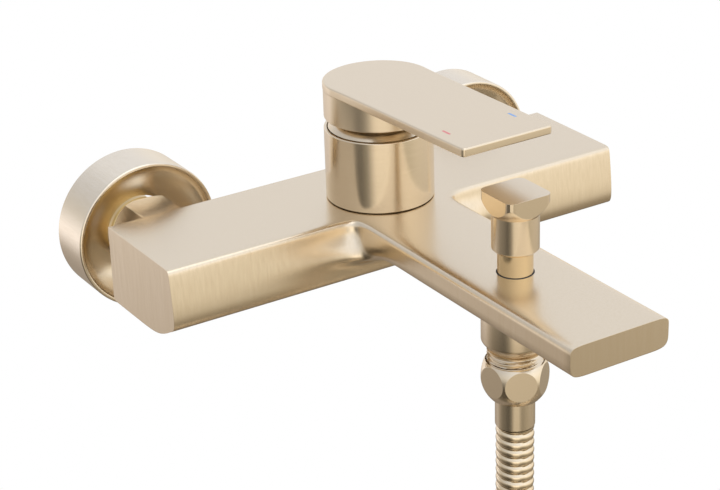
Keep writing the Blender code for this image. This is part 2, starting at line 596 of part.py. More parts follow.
def make_lever():
    """Lever with its spindle, screw, cap and the two temperature marks."""
    slope = Matrix.Rotation(-LEVER_TILT, 4, "X")
    top = at(y=TOWER_Y, z=LEVER_TOP) @ slope
    reach = TOWER_Y - LEVER_TIP
    round_end = arc((0.0, 0.0), LEVER_R, 0.0, 180.0, 24)
    outline = round_end + [(-LEVER_ROOT_HALF, LEVER_ROOT_Y), (-LEVER_TIP_HALF, -reach),
                           (LEVER_TIP_HALF, -reach), (LEVER_ROOT_HALF, LEVER_ROOT_Y)]
    lever = slab("lever_handle", outline, -LEVER_THICK, 0.0, "champagne", top)
    root_top = LEVER_TOP - LEVER_THICK + 0.9 * MM
    neck = rod("lever_neck", LEVER_NECK_R, LEVER_BOTTOM, root_top, None, at(y=TOWER_Y), FINE)
    boolean(lever, "UNION", neck)
    ceiling = PIVOT_Z + DOME_R + 1.6 * MM
    cavity = rod("lever_cavity", LEVER_CAVITY_R, LEVER_BOTTOM - MM, ceiling, None, at(y=TOWER_Y), FINE)
    socket_top = LEVER_TOP - 3.0 * MM
    socket = block("spindle_socket", (-SPINDLE_W / 2 - GAP, TOWER_Y - SPINDLE_T / 2 - GAP, ceiling - MM),
                   (SPINDLE_W / 2 + GAP, TOWER_Y + SPINDLE_T / 2 + GAP, socket_top), None)
    screw_z = (ceiling + socket_top) / 2
    screw_r = 1.5 * MM
    screw_axis = at(y=TOWER_Y, z=screw_z) @ Matrix.Rotation(-math.pi / 2, 4, "X")
    screw_in = SPINDLE_T / 2 + GAP
    cap_in = LEVER_R - 2.2 * MM
    screw_hole = rod("screw_hole", screw_r + GAP, screw_in - MM, LEVER_R + MM, None, screw_axis, SMALL)
    cap_hole = rod("cap_hole", 2.1 * MM, cap_in, LEVER_R + MM, None, screw_axis, SMALL)
    cut(lever, cavity, socket, screw_hole, cap_hole, solver="MANIFOLD")
    grub = rod("lever_screw", screw_r, screw_in, cap_in - 2.5 * MM, "steel", screw_axis, SMALL)
    cut(grub, prism("screw_hex", 6, 1.5 * MM, cap_in - 4.5 * MM, cap_in, None, screw_axis))
    rod("screw_cap", 2.1 * MM - GAP, cap_in + GAP, LEVER_R - 0.5 * MM, "champagne", screw_axis, SMALL)
    width, length, depth = MARK_SIZE
    for name, side, look in (("hot_mark", -1, "red"), ("cold_mark", 1, "blue")):
        x, y = side * MARK_X, MARK_Y - TOWER_Y
        cut(lever, block(name + "_pocket",
                         (x - width / 2 - GAP, y - length / 2 - GAP, -depth - GAP),
                         (x + width / 2 + GAP, y + length / 2 + GAP, MM), None, top),
            solver="MANIFOLD")
        block(name, (x - width / 2, y - length / 2, -depth), (x + width / 2, y + length / 2, 0.0),
              look, top)
    tab_top = PIVOT_Z - 4.0 * MM
    spindle = block("lever_spindle", (-SPINDLE_W / 2, TOWER_Y - SPINDLE_T / 2, tab_top),
                    (SPINDLE_W / 2, TOWER_Y + SPINDLE_T / 2, socket_top - 0.5 * MM), "steel")
    tab = block("spindle_tab", (-3.4 * MM, TOWER_Y - 2.0 * MM, SPINDLE_LOW),
                (3.4 * MM, TOWER_Y + 2.0 * MM, tab_top + 2.0 * MM), None)
    boolean(spindle, "UNION", tab)
    cut(spindle, rod("spindle_eye", PIN_R + GAP, -14.0 * MM, 14.0 * MM, None,
                     at(y=TOWER_Y, z=PIVOT_Z) @ Matrix.Rotation(math.pi / 2, 4, "Y"), SMALL))


# ---- diverter ------------------------------------------------------------------------------------
def make_diverter():
    """Pull-up knob on its stem, with bonnet, valve, nut and return spring."""
    axis = at(y=OUTLET_Y)
    cup_r = BONNET_R + 0.5 * MM
    cup_top = KNOB_BOTTOM + 13.4 * MM
    socket_top = KNOB_TOP - 3.6 * MM
    flare = KNOB_TOP - KNOB_FLARE
    outline = [(0.0, KNOB_TOP), (KNOB_CORNER_R - 0.4 * MM, KNOB_TOP), (KNOB_CORNER_R, KNOB_TOP - 0.5 * MM)]
    steps = 4
    for i in range(1, steps + 1):
        s = i / steps
        outline.append((KNOB_R + (KNOB_CORNER_R - KNOB_R) * (1.0 - s ** FLARE_BEND),
                        KNOB_TOP - 0.5 * MM - (KNOB_FLARE - 0.5 * MM) * s))
    chamfer = 0.9 * MM
    outline += [(KNOB_R, KNOB_BOTTOM + chamfer), (KNOB_R - chamfer, KNOB_BOTTOM), (0.0, KNOB_BOTTOM)]
    knob = turned("diverter_knob", outline, "champagne", axis)
    square = prism("knob_square", 4, 2 * KNOB_HALF, KNOB_BOTTOM - MM, KNOB_TOP + MM, None, axis)
    boolean(knob, "INTERSECT", square)
    cut(knob, rod("knob_cup", cup_r, KNOB_BOTTOM - MM, cup_top, None, axis),
        rod("knob_socket", STEM_R + GAP, cup_top - MM, socket_top, None, axis, SMALL))
    bonnet_low = SPOUT_BOTTOM + 2.2 * MM
    bonnet_seat = bonnet_low + 6.0 * MM
    turned("diverter_bonnet", [
        (STEM_R + 0.4 * MM, cup_top - MM), (BONNET_R - 0.5 * MM, cup_top - MM),
        (BONNET_R, cup_top - 1.5 * MM), (BONNET_R, bonnet_low), (BONNET_R - 1.1 * MM, bonnet_low),
        (BONNET_R - 1.1 * MM, bonnet_seat), (STEM_R + 0.4 * MM, bonnet_seat)], "champagne", axis)
    valve_low = VALVE_SEAT + 0.4 * MM
    valve_high = valve_low + VALVE_THICK
    collar_low = valve_high + GAP
    collar_high = collar_low + MM
    thin = STEM_R - 0.5 * MM
    nut_low = valve_low - 2.6 * MM
    turned("diverter_stem", [
        (0.0, socket_top - GAP), (STEM_R, socket_top - GAP), (STEM_R, collar_high),
        (4.6 * MM, collar_high), (4.6 * MM, collar_low), (thin, collar_low),
        (thin, nut_low - 0.4 * MM), (0.0, nut_low - 0.4 * MM)], "steel", axis, SMALL)
    ring("diverter_valve", thin + GAP, 7.2 * MM, valve_low, valve_high, "rubber", axis)
    nut = prism("valve_nut", 6, 8.0 * MM, nut_low, valve_low - GAP, "brass", axis)
    cut(nut, rod("valve_nut_hole", thin + GAP, nut_low - MM, valve_low, None, axis, SMALL))
    wire_r = 0.35 * MM
    low, high = collar_high + wire_r + GAP, bonnet_seat - wire_r - GAP
    turns, per_turn = 4, 10
    points = []
    for i in range(turns * per_turn + 1):
        a = 2 * math.pi * i / per_turn
        points.append((4.2 * MM * math.cos(a), OUTLET_Y + 4.2 * MM * math.sin(a),
                       low + (high - low) * i / (turns * per_turn)))
    wire("diverter_spring", points, wire_r, "steel", 1)


# ---- hose outlet ---------------------------------------------------------------------------------
def make_outlet():
    """Threaded tail under the spout, with check valve, hose nut, washer and ferrule."""
    axis = at(y=OUTLET_Y)
    chamber_r = 7.9 * MM
    way_r = 5.5 * MM
    top = SPOUT_BOTTOM - GAP
    step = 1.9 * MM
    turned("outlet_tail", [
        (chamber_r, top), (TAIL_R, top), (TAIL_R, TAIL_BOTTOM), (TAIL_THREAD_R - 0.4 * MM, TAIL_BOTTOM - step),
        (TAIL_THREAD_R - 0.4 * MM, TAIL_BOTTOM - step - 0.8 * MM), (TAIL_THREAD_R, TAIL_BOTTOM - step - 1.2 * MM),
        (TAIL_THREAD_R, TAIL_END + 0.6 * MM), (TAIL_THREAD_R - 0.6 * MM, TAIL_END), (way_r, TAIL_END),
        (way_r, VALVE_SEAT), (chamber_r, VALVE_SEAT)], "champagne", axis)
    ring("check_valve", 2.0 * MM, way_r - GAP, TAIL_END + 4.0 * MM, TAIL_END + 12.0 * MM, "plastic", axis)
    ball = []
    steps = 6
    high = math.asin((HOSE_NUT_TOP - HOSE_NUT_Z) / HOSE_NUT_BALL_R)
    low = math.asin((HOSE_NUT_END - HOSE_NUT_Z) / HOSE_NUT_BALL_R)
    for i in range(steps + 1):
        a = high + (low - high) * i / steps
        ball.append((HOSE_NUT_BALL_R * math.cos(a), HOSE_NUT_Z + HOSE_NUT_BALL_R * math.sin(a)))
    outline = [(0.0, ball[0][1])] + ball + [(0.0, ball[-1][1])]
    nut = turned("hose_nut", outline, "champagne", axis)
    boolean(nut, "INTERSECT", prism("hose_nut_hex", 6, HOSE_NUT_FLATS, HOSE_NUT_END - MM,
                                    HOSE_NUT_TOP + MM, None, axis, math.radians(-24.8)))
    lip = HOSE_NUT_END + 2.4 * MM
    bore = TAIL_THREAD_R + GAP
    cut(nut, turned("hose_nut_bore", [
        (0.0, HOSE_NUT_TOP + MM), (bore, HOSE_NUT_TOP + MM), (bore, lip),
        (FERRULE_R + GAP, lip), (FERRULE_R + GAP, HOSE_NUT_END - MM), (0.0, HOSE_NUT_END - MM)],
        None, axis))
    flange_low = lip + GAP
    flange_high = flange_low + 2.0 * MM
    washer_low = flange_high + GAP
    ring("hose_washer", way_r, bore - 0.5 * MM, washer_low, TAIL_END - GAP, "rubber", axis)
    turned("hose_ferrule", [
        (4.2 * MM, flange_high), (bore - 0.6 * MM, flange_high), (bore - 0.6 * MM, flange_low),
        (FERRULE_R, flange_low), (FERRULE_R, FERRULE_END + 0.4 * MM), (FERRULE_R - 0.4 * MM, FERRULE_END),
        (4.2 * MM, FERRULE_END)], "champagne", axis)


def smooth_path(points, step):
    """Points along a smooth curve through the given ones, about a step apart."""
    path = []
    count = len(points)
    for i in range(count - 1):
        p0, p1 = points[max(i - 1, 0)], points[i]
        p2, p3 = points[i + 1], points[min(i + 2, count - 1)]
        parts = max(1, round((p2 - p1).length / step))
        for k in range(parts):
            t = k / parts
            path.append(0.5 * (2 * p1 + (p2 - p0) * t + (2 * p0 - 5 * p1 + 4 * p2 - p3) * t ** 2
                               + (3 * p1 - p0 - 3 * p2 + p3) * t ** 3))
    path.append(points[-1])
    return path


def make_hose():
    """Hose: a hanging strand, a tied coil and the end with its conical nut."""
    y0 = OUTLET_Y
    centre = Vector((0.0, y0, COIL_CENTRE_Z))

    def on_coil(angle):
        t = COIL_START - angle
        return centre + Vector((COIL_R * math.cos(t), -HOSE_D * angle / (2 * math.pi), COIL_R * math.sin(t)))

    strand = [Vector((0.0, y0, FERRULE_END - GAP)), Vector((0.0, y0, -64.0 * MM)),
              Vector((0.3 * MM, y0, -82.0 * MM)), Vector((4.6 * MM, y0, -104.0 * MM)),
              Vector((16.0 * MM, y0, -123.5 * MM)), Vector((31.5 * MM, y0, -140.5 * MM)),
              on_coil(0.0), on_coil(0.35)]
    last = 2 * math.pi * COIL_TURNS
    y1 = on_coil(last).y
    end = [on_coil(last - 0.35), on_coil(last), Vector((32.0 * MM, y1 - MM, -141.5 * MM)),
           Vector((53.0 * MM, y1 - 3.0 * MM, -148.5 * MM)), Vector((72.0 * MM, y1 - 5.0 * MM, -159.0 * MM)),
           Vector((89.0 * MM, y1 - 7.0 * MM, -172.5 * MM))]
    clear = COIL_R + HOSE_D + GAP

    def outside(path):
        return [p for p in path if Vector((p.x, 0.0, p.z - COIL_CENTRE_Z)).length > clear]

    wire("hose_tube", outside(smooth_path(strand, HOSE_D)), HOSE_D / 2, "steel")
    wire("hose_tail", outside(smooth_path(end, HOSE_D)), HOSE_D / 2, "steel")
    near = y0 + HOSE_D / 2
    far = y1 - HOSE_D / 2
    edge = HOSE_D / 4
    inner, outer = COIL_R - HOSE_D / 2, COIL_R + HOSE_D / 2
    coil_place = off_wall(0.0, COIL_CENTRE_Z)
    turned("hose_coil", [
        (inner, -far - edge), (inner + edge, -far), (outer - edge, -far), (outer, -far - edge),
        (outer, -near + edge), (outer - edge, -near), (inner + edge, -near), (inner, -near + edge)],
        "steel", coil_place)
    band = 1.5 * MM
    tie_half = 6.0 * MM
    slack = 2 * GAP
    lift = COIL_CENTRE_Z
    tie = block("hose_tie", (-tie_half, far - slack - band, lift + inner - slack - band),
                (tie_half, near + slack + band, lift + outer + slack + band), "rubber")
    cut(tie, block("tie_hole", (-tie_half - MM, far - slack, lift + inner * math.cos(0.11) - slack),
                   (tie_half + MM, near + slack, lift + outer + slack), None))
    direction = (end[-1] - end[-2]).normalized()
    place = along(end[-1] + direction * GAP, direction)
    flange = 9.0 * MM
    turned("end_ferrule", [
        (4.2 * MM, END_FERRULE_LEN), (flange, END_FERRULE_LEN), (flange, END_FERRULE_LEN - 2.0 * MM),
        (FERRULE_R, END_FERRULE_LEN - 2.0 * MM), (FERRULE_R, 0.4 * MM), (FERRULE_R - 0.4 * MM, 0.0),
        (4.2 * MM, 0.0)], "champagne", place)
    cone_low = END_FERRULE_LEN - 4.4 * MM
    cone_high = cone_low + CONE_NUT_LEN
    lip = END_FERRULE_LEN - 2.0 * MM - GAP
    turned("cone_nut", [
        (9.9 * MM, cone_high), (CONE_NUT_R - 0.5 * MM, cone_high), (CONE_NUT_R, cone_high - 0.5 * MM),
        (CONE_NUT_R, cone_high - 8.0 * MM), (FERRULE_R + 1.6 * MM, cone_low),
        (FERRULE_R + GAP, cone_low), (FERRULE_R + GAP, lip), (9.9 * MM, lip)],
        "champagne", place)
    ring("end_washer", 5.0 * MM, 9.3 * MM, END_FERRULE_LEN + GAP, END_FERRULE_LEN + GAP + WASHER_THICK,
         "rubber", place)


# ---- aerator -------------------------------------------------------------------------------------
def make_aerator():
    """Slim aerator under the spout tip."""
    axis = at(y=AERATOR_Y)
    low = SPOUT_BOTTOM + 0.4 * MM
    high = SPOUT_BOTTOM + AERATOR_DEPTH - GAP
    seal = 1.0 * MM
    wall = 1.6 * MM
    ledge = 1.0 * MM
    turned("aerator_housing", [
        (AERATOR_R - wall, high - seal - GAP), (AERATOR_R, high - seal - GAP), (AERATOR_R, low),
        (AERATOR_R - wall - ledge, low), (AERATOR_R - wall - ledge, low + 0.7 * MM),
        (AERATOR_R - wall, low + 0.7 * MM)], "champagne", axis)
    insert = rod("aerator_insert", AERATOR_R - wall - GAP, low + 0.7 * MM + GAP, high - seal - GAP,
                 "plastic", axis)
    for i in range(6):
        a = math.radians(60.0) * i
        cut(insert, rod("jet", 1.1 * MM, low - MM, high + MM, None,
                        at(4.6 * MM * math.cos(a), AERATOR_Y + 4.6 * MM * math.sin(a)), 8))
    cut(insert, rod("jet", 1.1 * MM, low - MM, high + MM, None, axis, 8))
    ring("aerator_seal", AERATOR_R - 2.0 * MM, AERATOR_R, high - seal, high, "rubber", axis)


make_casting()
for SIDE, SIGN in (("left", -1), ("right", 1)):
    make_union(SIDE, SIGN * UNION_X)
NUT_TOP = make_cartridge()
make_turning_parts(NUT_TOP)
make_lever()
make_diverter()
make_outlet()
make_hose()
make_aerator()
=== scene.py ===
"""Visual model of a wall-mounted bath mixer with a lever, a pull-up diverter and a hose.

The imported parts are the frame. X runs along the bar, the wall is the plane Y = 0 with the mixer
towards -Y, and +Z is up. Lengths are in metres, from millimetres through MM.
"""
import logging
import math
from collections.abc import Sequence
from dataclasses import dataclass
from enum import Enum

import bmesh
import bpy
from mathutils import Matrix, Vector


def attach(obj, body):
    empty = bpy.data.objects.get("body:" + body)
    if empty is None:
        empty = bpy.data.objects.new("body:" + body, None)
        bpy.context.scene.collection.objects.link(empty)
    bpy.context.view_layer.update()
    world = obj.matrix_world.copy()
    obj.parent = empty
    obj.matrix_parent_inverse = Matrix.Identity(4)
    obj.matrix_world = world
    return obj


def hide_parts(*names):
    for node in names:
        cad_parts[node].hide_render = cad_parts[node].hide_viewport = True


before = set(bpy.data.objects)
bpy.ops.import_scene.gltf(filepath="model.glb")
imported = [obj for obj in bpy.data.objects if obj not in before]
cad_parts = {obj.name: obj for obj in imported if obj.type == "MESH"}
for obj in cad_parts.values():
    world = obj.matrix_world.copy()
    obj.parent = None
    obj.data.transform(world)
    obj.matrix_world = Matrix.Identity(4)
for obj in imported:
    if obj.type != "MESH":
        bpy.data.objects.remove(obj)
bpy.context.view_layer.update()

LOG = logging.getLogger("bath_mixer")
MM = 0.001
SAME_PLACE = 1e-6
ON_AXIS = 1e-9
HOSE_BORE = 4.2 * MM
UNION_X = 75.0 * MM

Point = tuple[float, float]
Corner = tuple[float, float, float]
Color = tuple[float, float, float]
Stops = tuple[tuple[float, Color], ...]
Mesh = bpy.types.Mesh
Material = bpy.types.Material
Socket = bpy.types.NodeSocket


class Grain(Enum):
    """Which way a surface was brushed."""

    ALONG_X = "along x"
    ALONG_Y = "along y"
    ALONG_Z = "along z"
    TURNED = "turned"
    SPOKES = "spokes"
    PLAIN = "plain"


class Axis(Enum):
    """Direction of a turned piece's axis."""

    Y = "Y"
    Z = "Z"


class Body(Enum):
    """Bodies of the frame that pieces ride on."""

    FIXED = "body"
    TURN = "turn"
    LEVER = "lever"
    DIVERTER = "diverter"
    CONE = "cone"


# ---- finishes ------------------------------------------------------------------------------------
class NodeSketch:
    """Adds and links shader nodes in a tree."""

    def __init__(self, tree: bpy.types.NodeTree) -> None:
        """Start on a tree.

        Args:
            tree: The node tree to work in.
        """
        self.tree = tree

    def math(self, operation: str, *values: object) -> Socket:
        """Return the result of a Math node; values are sockets or numbers.

        Args:
            operation: The node's operation.
            values: Sockets or numbers for its inputs.

        Returns:
            A value socket.
        """
        node = self.tree.nodes.new("ShaderNodeMath")
        node.operation = operation
        self.feed(node.inputs, values)
        return node.outputs[0]

    def vector(self, operation: str, *values: object) -> Socket:
        """Return the result of a Vector Math node; values are sockets or triples.

        Args:
            operation: The node's operation.
            values: Sockets or triples for its inputs.

        Returns:
            A vector socket, or a value socket for a length or a dot product.
        """
        node = self.tree.nodes.new("ShaderNodeVectorMath")
        node.operation = operation
        self.feed(node.inputs, values)
        return node.outputs["Value" if operation in ("LENGTH", "DOT_PRODUCT") else "Vector"]

    def feed(self, sockets: Sequence[Socket], values: Sequence[object]) -> None:
        """Link or set inputs in order.

        Args:
            sockets: The inputs.
            values: A socket or a value for each.
        """
        for socket, value in zip(sockets, values):
            if isinstance(value, Socket):
                self.tree.links.new(value, socket)
            else:
                socket.default_value = value

    def split(self, vector: Socket) -> list[Socket]:
        """Return the three parts of a vector.

        Args:
            vector: The vector.

        Returns:
            Its X, Y and Z.
        """
        node = self.tree.nodes.new("ShaderNodeSeparateXYZ")
        self.tree.links.new(vector, node.inputs[0])
        return list(node.outputs)

    def join(self, *parts: object) -> Socket:
        """Return a vector made of three parts.

        Args:
            parts: Sockets or numbers for X, Y and Z.

        Returns:
            A vector socket.
        """
        node = self.tree.nodes.new("ShaderNodeCombineXYZ")
        self.feed(node.inputs, parts)
        return node.outputs[0]

    def noise(self, vector: Socket, scale: float, detail: float) -> Socket:
        """Return a noise value over a vector.

        Args:
            vector: Coordinates.
            scale: Scale of the noise.
            detail: Octaves.

        Returns:
            A value socket.
        """
        node = self.tree.nodes.new("ShaderNodeTexNoise")
        node.inputs["Scale"].default_value = scale
        node.inputs["Detail"].default_value = detail
        self.tree.links.new(vector, node.inputs["Vector"])
        return node.outputs["Fac"]

    def spread(self, value: Socket, low: float, high: float) -> Socket:
        """Return a value stretched from the usual span of noise to a low and a high.

        Args:
            value: The value.
            low: Result at the usual low.
            high: Result at the usual high.

        Returns:
            A value socket.
        """
        node = self.tree.nodes.new("ShaderNodeMapRange")
        node.inputs["From Min"].default_value = 0.25
        node.inputs["From Max"].default_value = 0.75
        node.inputs["To Min"].default_value = low
        node.inputs["To Max"].default_value = high
        self.tree.links.new(value, node.inputs["Value"])
        return node.outputs["Result"]

    def blend(self, share: object, first: object, second: object, kind: str = "MIX") -> Socket:
        """Return a colour mixed from two, each a socket or a triple, by a share.

        Args:
            share: Share of the second colour.
            first: First colour.
            second: Second colour.
            kind: Way of blending.

        Returns:
            A colour socket.
        """
        node = self.tree.nodes.new("ShaderNodeMix")
        node.data_type = "RGBA"
        node.blend_type = kind
        first, second = (c if isinstance(c, Socket) else (*c, 1.0) for c in (first, second))
        self.feed([node.inputs["Factor"]] + [s for s in node.inputs if s.type == "RGBA"],
                  (share, first, second))
        return [s for s in node.outputs if s.type == "RGBA"][0]

    def ramp(self, value: Socket, stops: Stops) -> Socket:
        """Return a colour looked up between stops, each a position from 0 to 1 and its colour.

        Args:
            value: Where to look, from 0 to 1.
            stops: Places and colours, in order.

        Returns:
            A colour socket.
        """
        node = self.tree.nodes.new("ShaderNodeValToRGB")
        elements = node.color_ramp.elements
        elements[0].position, elements[1].position = stops[0][0], stops[-1][0]
        for position, _ in stops[1:-1]:
            elements.new(position)
        for element, (_, color) in zip(elements, stops):
            element.color = (*color, 1.0)
        self.tree.links.new(value, node.inputs[0])
        return node.outputs["Color"]


class ShaderSketch(NodeSketch):
    """Adds and links the nodes of one material."""

    def __init__(self, name: str) -> None:
        """Start a material.

        Args:
            name: Name of the material.
        """
        self.material = bpy.data.materials.new(name)
        self.material.use_nodes = True
        super().__init__(self.material.node_tree)
        self.shader = self.tree.nodes["Principled BSDF"]
        self.position = self.tree.nodes.new("ShaderNodeTexCoord").outputs["Object"]

    def bump(self, height: Socket, depth: float) -> None:
        """Drive the shader's normal by a height of a depth in metres.

        Args:
            height: The height, from 0 to 1.
            depth: Its depth in metres.
        """
        node = self.tree.nodes.new("ShaderNodeBump")
        node.inputs["Strength"].default_value = 1.0
        node.inputs["Distance"].default_value = depth
        self.tree.links.new(height, node.inputs["Height"])
        self.tree.links.new(node.outputs[0], self.shader.inputs["Normal"])

    def use(self, socket: str, value: Socket) -> None:
        """Link a value to a socket of the shader."""
        self.tree.links.new(value, self.shader.inputs[socket])


@dataclass(frozen=True)
class BrushedMetal:
    """Plated metal with a satin grain."""

    name: str
    light: Color = (0.82, 0.70, 0.53)
    dark: Color = (0.74, 0.61, 0.43)
    roughness: float = 0.24
    grain: Grain = Grain.PLAIN
    axis: Axis = Axis.Z
    centre: Corner = (0.0, 0.0, 0.0)
    fine: float = 2600.0
    drawn: float = 70.0
    streak: float = 0.25
    depth: float = 0.001 * MM
    spokes: float = 45.0
    cloud: float = 38.0
    cloud_share: float = 0.4
    mean_shade: float = 0.35
    rough_share: float = 0.05

    def grain_vector(self, sketch: ShaderSketch) -> Socket:
        """Return coordinates in which noise is drawn out along the brushing.

        Args:
            sketch: The material being made.

        Returns:
            A vector socket.
        """
        moved = sketch.vector("SUBTRACT", sketch.position, self.centre)
        x, y, z = sketch.split(moved)
        fine, drawn = self.fine, self.drawn
        if self.grain in (Grain.TURNED, Grain.SPOKES):
            a, b, h = (x, y, z) if self.axis is Axis.Z else (x, z, y)
            radius = sketch.vector("LENGTH", sketch.join(a, b, 0.0))
            if self.grain is Grain.TURNED:
                return sketch.join(
                    sketch.math("MULTIPLY_ADD", radius, fine, sketch.math("MULTIPLY", a, drawn)),
                    sketch.math("MULTIPLY_ADD", h, fine, sketch.math("MULTIPLY", b, drawn)), 0.0)
            return sketch.join(
                sketch.math("MULTIPLY", sketch.math("DIVIDE", a, radius), self.spokes),
                sketch.math("MULTIPLY", sketch.math("DIVIDE", b, radius), self.spokes),
                sketch.math("MULTIPLY", sketch.math("ADD", radius, h), drawn))
        scales = {
            Grain.ALONG_X: (drawn, fine, fine),
            Grain.ALONG_Y: (fine, drawn, fine),
            Grain.ALONG_Z: (fine, fine, drawn),
            Grain.PLAIN: (fine, fine, fine),
        }[self.grain]
        return sketch.vector("MULTIPLY", moved, scales)

    def make(self) -> Material:
        """Return the material.

        Returns:
            The finished material.
        """
        sketch = ShaderSketch(self.name)
        sketch.shader.inputs["Metallic"].default_value = 1.0
        hair = sketch.noise(self.grain_vector(sketch), 1.0, 2.0)
        cloud = sketch.noise(sketch.position, self.cloud, 3.0)
        shade = sketch.spread(hair, self.mean_shade - self.streak / 2,
                              self.mean_shade + self.streak / 2)
        sketch.use("Base Color", sketch.blend(shade, self.light, self.dark))
        part = sketch.math("MULTIPLY", hair, 1.0 - self.cloud_share)
        mixed = sketch.math("MULTIPLY_ADD", cloud, self.cloud_share, part)
        vary = self.rough_share * self.streak
        sketch.use("Roughness", sketch.spread(mixed, self.roughness - vary, self.roughness + vary))
        sketch.bump(hair, self.depth)
        return sketch.material


@dataclass(frozen=True)
class MoldedFinish:
    """Plastic, rubber, ceramic or enamel with a fine surface texture."""

    name: str
    light: Color
    dark: Color
    roughness: float = 0.45
    scale: float = 900.0
    depth: float = 0.01 * MM
    cloud: float = 60.0
    vary: float = 0.05

    def make(self) -> Material:
        """Return the material.

        Returns:
            The finished material.
        """
        sketch = ShaderSketch(self.name)
        grit = sketch.noise(sketch.position, self.scale, 3.0)
        cloud = sketch.noise(sketch.position, self.cloud, 2.0)
        sketch.use("Base Color",
                   sketch.blend(sketch.spread(cloud, 0.0, 1.0), self.light, self.dark))
        sketch.use("Roughness",
                   sketch.spread(grit, self.roughness - self.vary, self.roughness + self.vary))
        sketch.bump(grit, self.depth)
        return sketch.material


# ---- shapes --------------------------------------------------------------------------------------
def fillet(corners: Sequence[Corner], closed: bool = False, steps: int = 4) -> list[Point]:
    """Round the corners of an outline.

    Args:
        corners: (first, second, radius) of each corner.
        closed: Whether the outline closes on itself.
        steps: Segments of each arc.

    Returns:
        The outline's points.
    """
    made: list[Point] = []
    count = len(corners)
    for i, (x, y, radius) in enumerate(corners):
        here = Vector((x, y))
        if radius <= 0.0 or (not closed and i in (0, count - 1)):
            made.append((x, y))
            continue
        before = Vector(corners[i - 1][:2]) - here
        after = Vector(corners[(i + 1) % count][:2]) - here
        room = 0.499 * min(before.length, after.length)
        before.normalize()
        after.normalize()
        half = before.angle(after) / 2.0
        if half > math.radians(89.0):
            made.append((x, y))
            continue
        reach = min(radius / math.tan(half), room)
        used = reach * math.tan(half)
        centre = here + (before + after).normalized() * (used / math.sin(half))
        start = here + before * reach - centre
        end = here + after * reach - centre
        sweep = start.angle_signed(end)
        for k in range(steps + 1):
            spun = Matrix.Rotation(-sweep * k / steps, 2) @ start
            made.append((centre.x + spun.x, centre.y + spun.y))
    return made


def arc(centre: Point, radius: float, start: float, end: float, steps: int) -> list[Point]:
    """Return points of an arc, ends included; angles in degrees."""
    angles = [math.radians(start + (end - start) * i / steps) for i in range(steps + 1)]
    return [(centre[0] + radius * math.cos(a), centre[1] + radius * math.sin(a)) for a in angles]


def dense(low: float, high: float, step: float) -> list[float]:
    """Return values from low to high, about a step apart, ends included."""
    parts = max(1, math.ceil(abs(high - low) / step))
    return [low + (high - low) * i / parts for i in range(parts + 1)]


def new_mesh(name: str, points: Sequence[Sequence[float]], faces: Sequence[Sequence[int]]) -> Mesh:
    """Return a mesh whose faces point outwards.

    Args:
        name: Name of the mesh.
        points: Its points.
        faces: Its faces, as numbers of points.

    Returns:
        The mesh.
    """
    mesh = bpy.data.meshes.new(name)
    mesh.from_pydata(points, [], faces)
    shape = bmesh.new()
    shape.from_mesh(mesh)
    bmesh.ops.recalc_face_normals(shape, faces=shape.faces)
    shape.to_mesh(mesh)
    shape.free()
    return mesh


def lathe(name: str, outline: Sequence[Point], place: Matrix = Matrix.Identity(4),
          steps: int = 96) -> Mesh:
    """Turn a section about local Z.

    Args:
        name: Name of the mesh.
        outline: (radius, height) points. It closes on itself unless it starts and ends on the axis.
        place: Where the mesh goes.
        steps: Segments around.

    Returns:
        A closed mesh.
    """
    points: list[Corner] = []
    rings: list[list[int]] = []
    for radius, height in outline:
        if radius <= ON_AXIS:
            rings.append([len(points)])
            points.append((0.0, 0.0, height))
            continue
        rings.append(list(range(len(points), len(points) + steps)))
        for k in range(steps):
            turn = 2.0 * math.pi * (k + 0.5) / steps
            points.append((radius * math.cos(turn), radius * math.sin(turn), height))
    if len(rings[0]) > 1:
        rings.append(rings[0])
    faces = []
    for upper, lower in zip(rings, rings[1:]):
        for k in range(steps):
            n = (k + 1) % steps
            loop = [upper[k % len(upper)], upper[n % len(upper)], lower[n % len(lower)],
                    lower[k % len(lower)]]
            face = list(dict.fromkeys(loop))
            if len(face) > 2:
                faces.append(face)
    mesh = new_mesh(name, points, faces)
    mesh.transform(place)
    return mesh


def pin(name: str, radius: float, low: float, high: float, place: Matrix = Matrix.Identity(4),
        steps: int = 48) -> Mesh:
    """Return a round bar about local Z, from low to high."""
    return lathe(name, [(0.0, high), (radius, high), (radius, low), (0.0, low)], place, steps)


def slab(name: str, outline: Sequence[Point], profile: Sequence[Point],
         place: Matrix = Matrix.Identity(4)) -> Mesh:
    """Stack copies of a flat outline.

    Args:
        name: Name of the mesh.
        outline: Points anticlockwise in XY.
        profile: (inset, height) of each copy, from the top down.
        place: Where the mesh goes.

    Returns:
        A closed mesh.
    """
    count = len(outline)
    flat = [Vector(p) for p in outline]
    inward = []
    for i, here in enumerate(flat):
        a = (here - flat[i - 1]).normalized()
        b = (flat[(i + 1) % count] - here).normalized()
        normal = (Vector((-a.y, a.x)) + Vector((-b.y, b.x))).normalized()
        inward.append(normal / max(0.3, normal.dot(Vector((-a.y, a.x)))))
    points = [(*(p + n * inset), height) for inset, height in profile for p, n in zip(flat, inward)]
    faces = [list(range(count)), list(range(len(points) - count, len(points)))]
    for level in range(len(profile) - 1):
        base = level * count
        for k in range(count):
            n = (k + 1) % count
            faces.append([base + k, base + n, base + count + n, base + count + k])
    mesh = new_mesh(name, points, faces)
    mesh.transform(place)
    return mesh


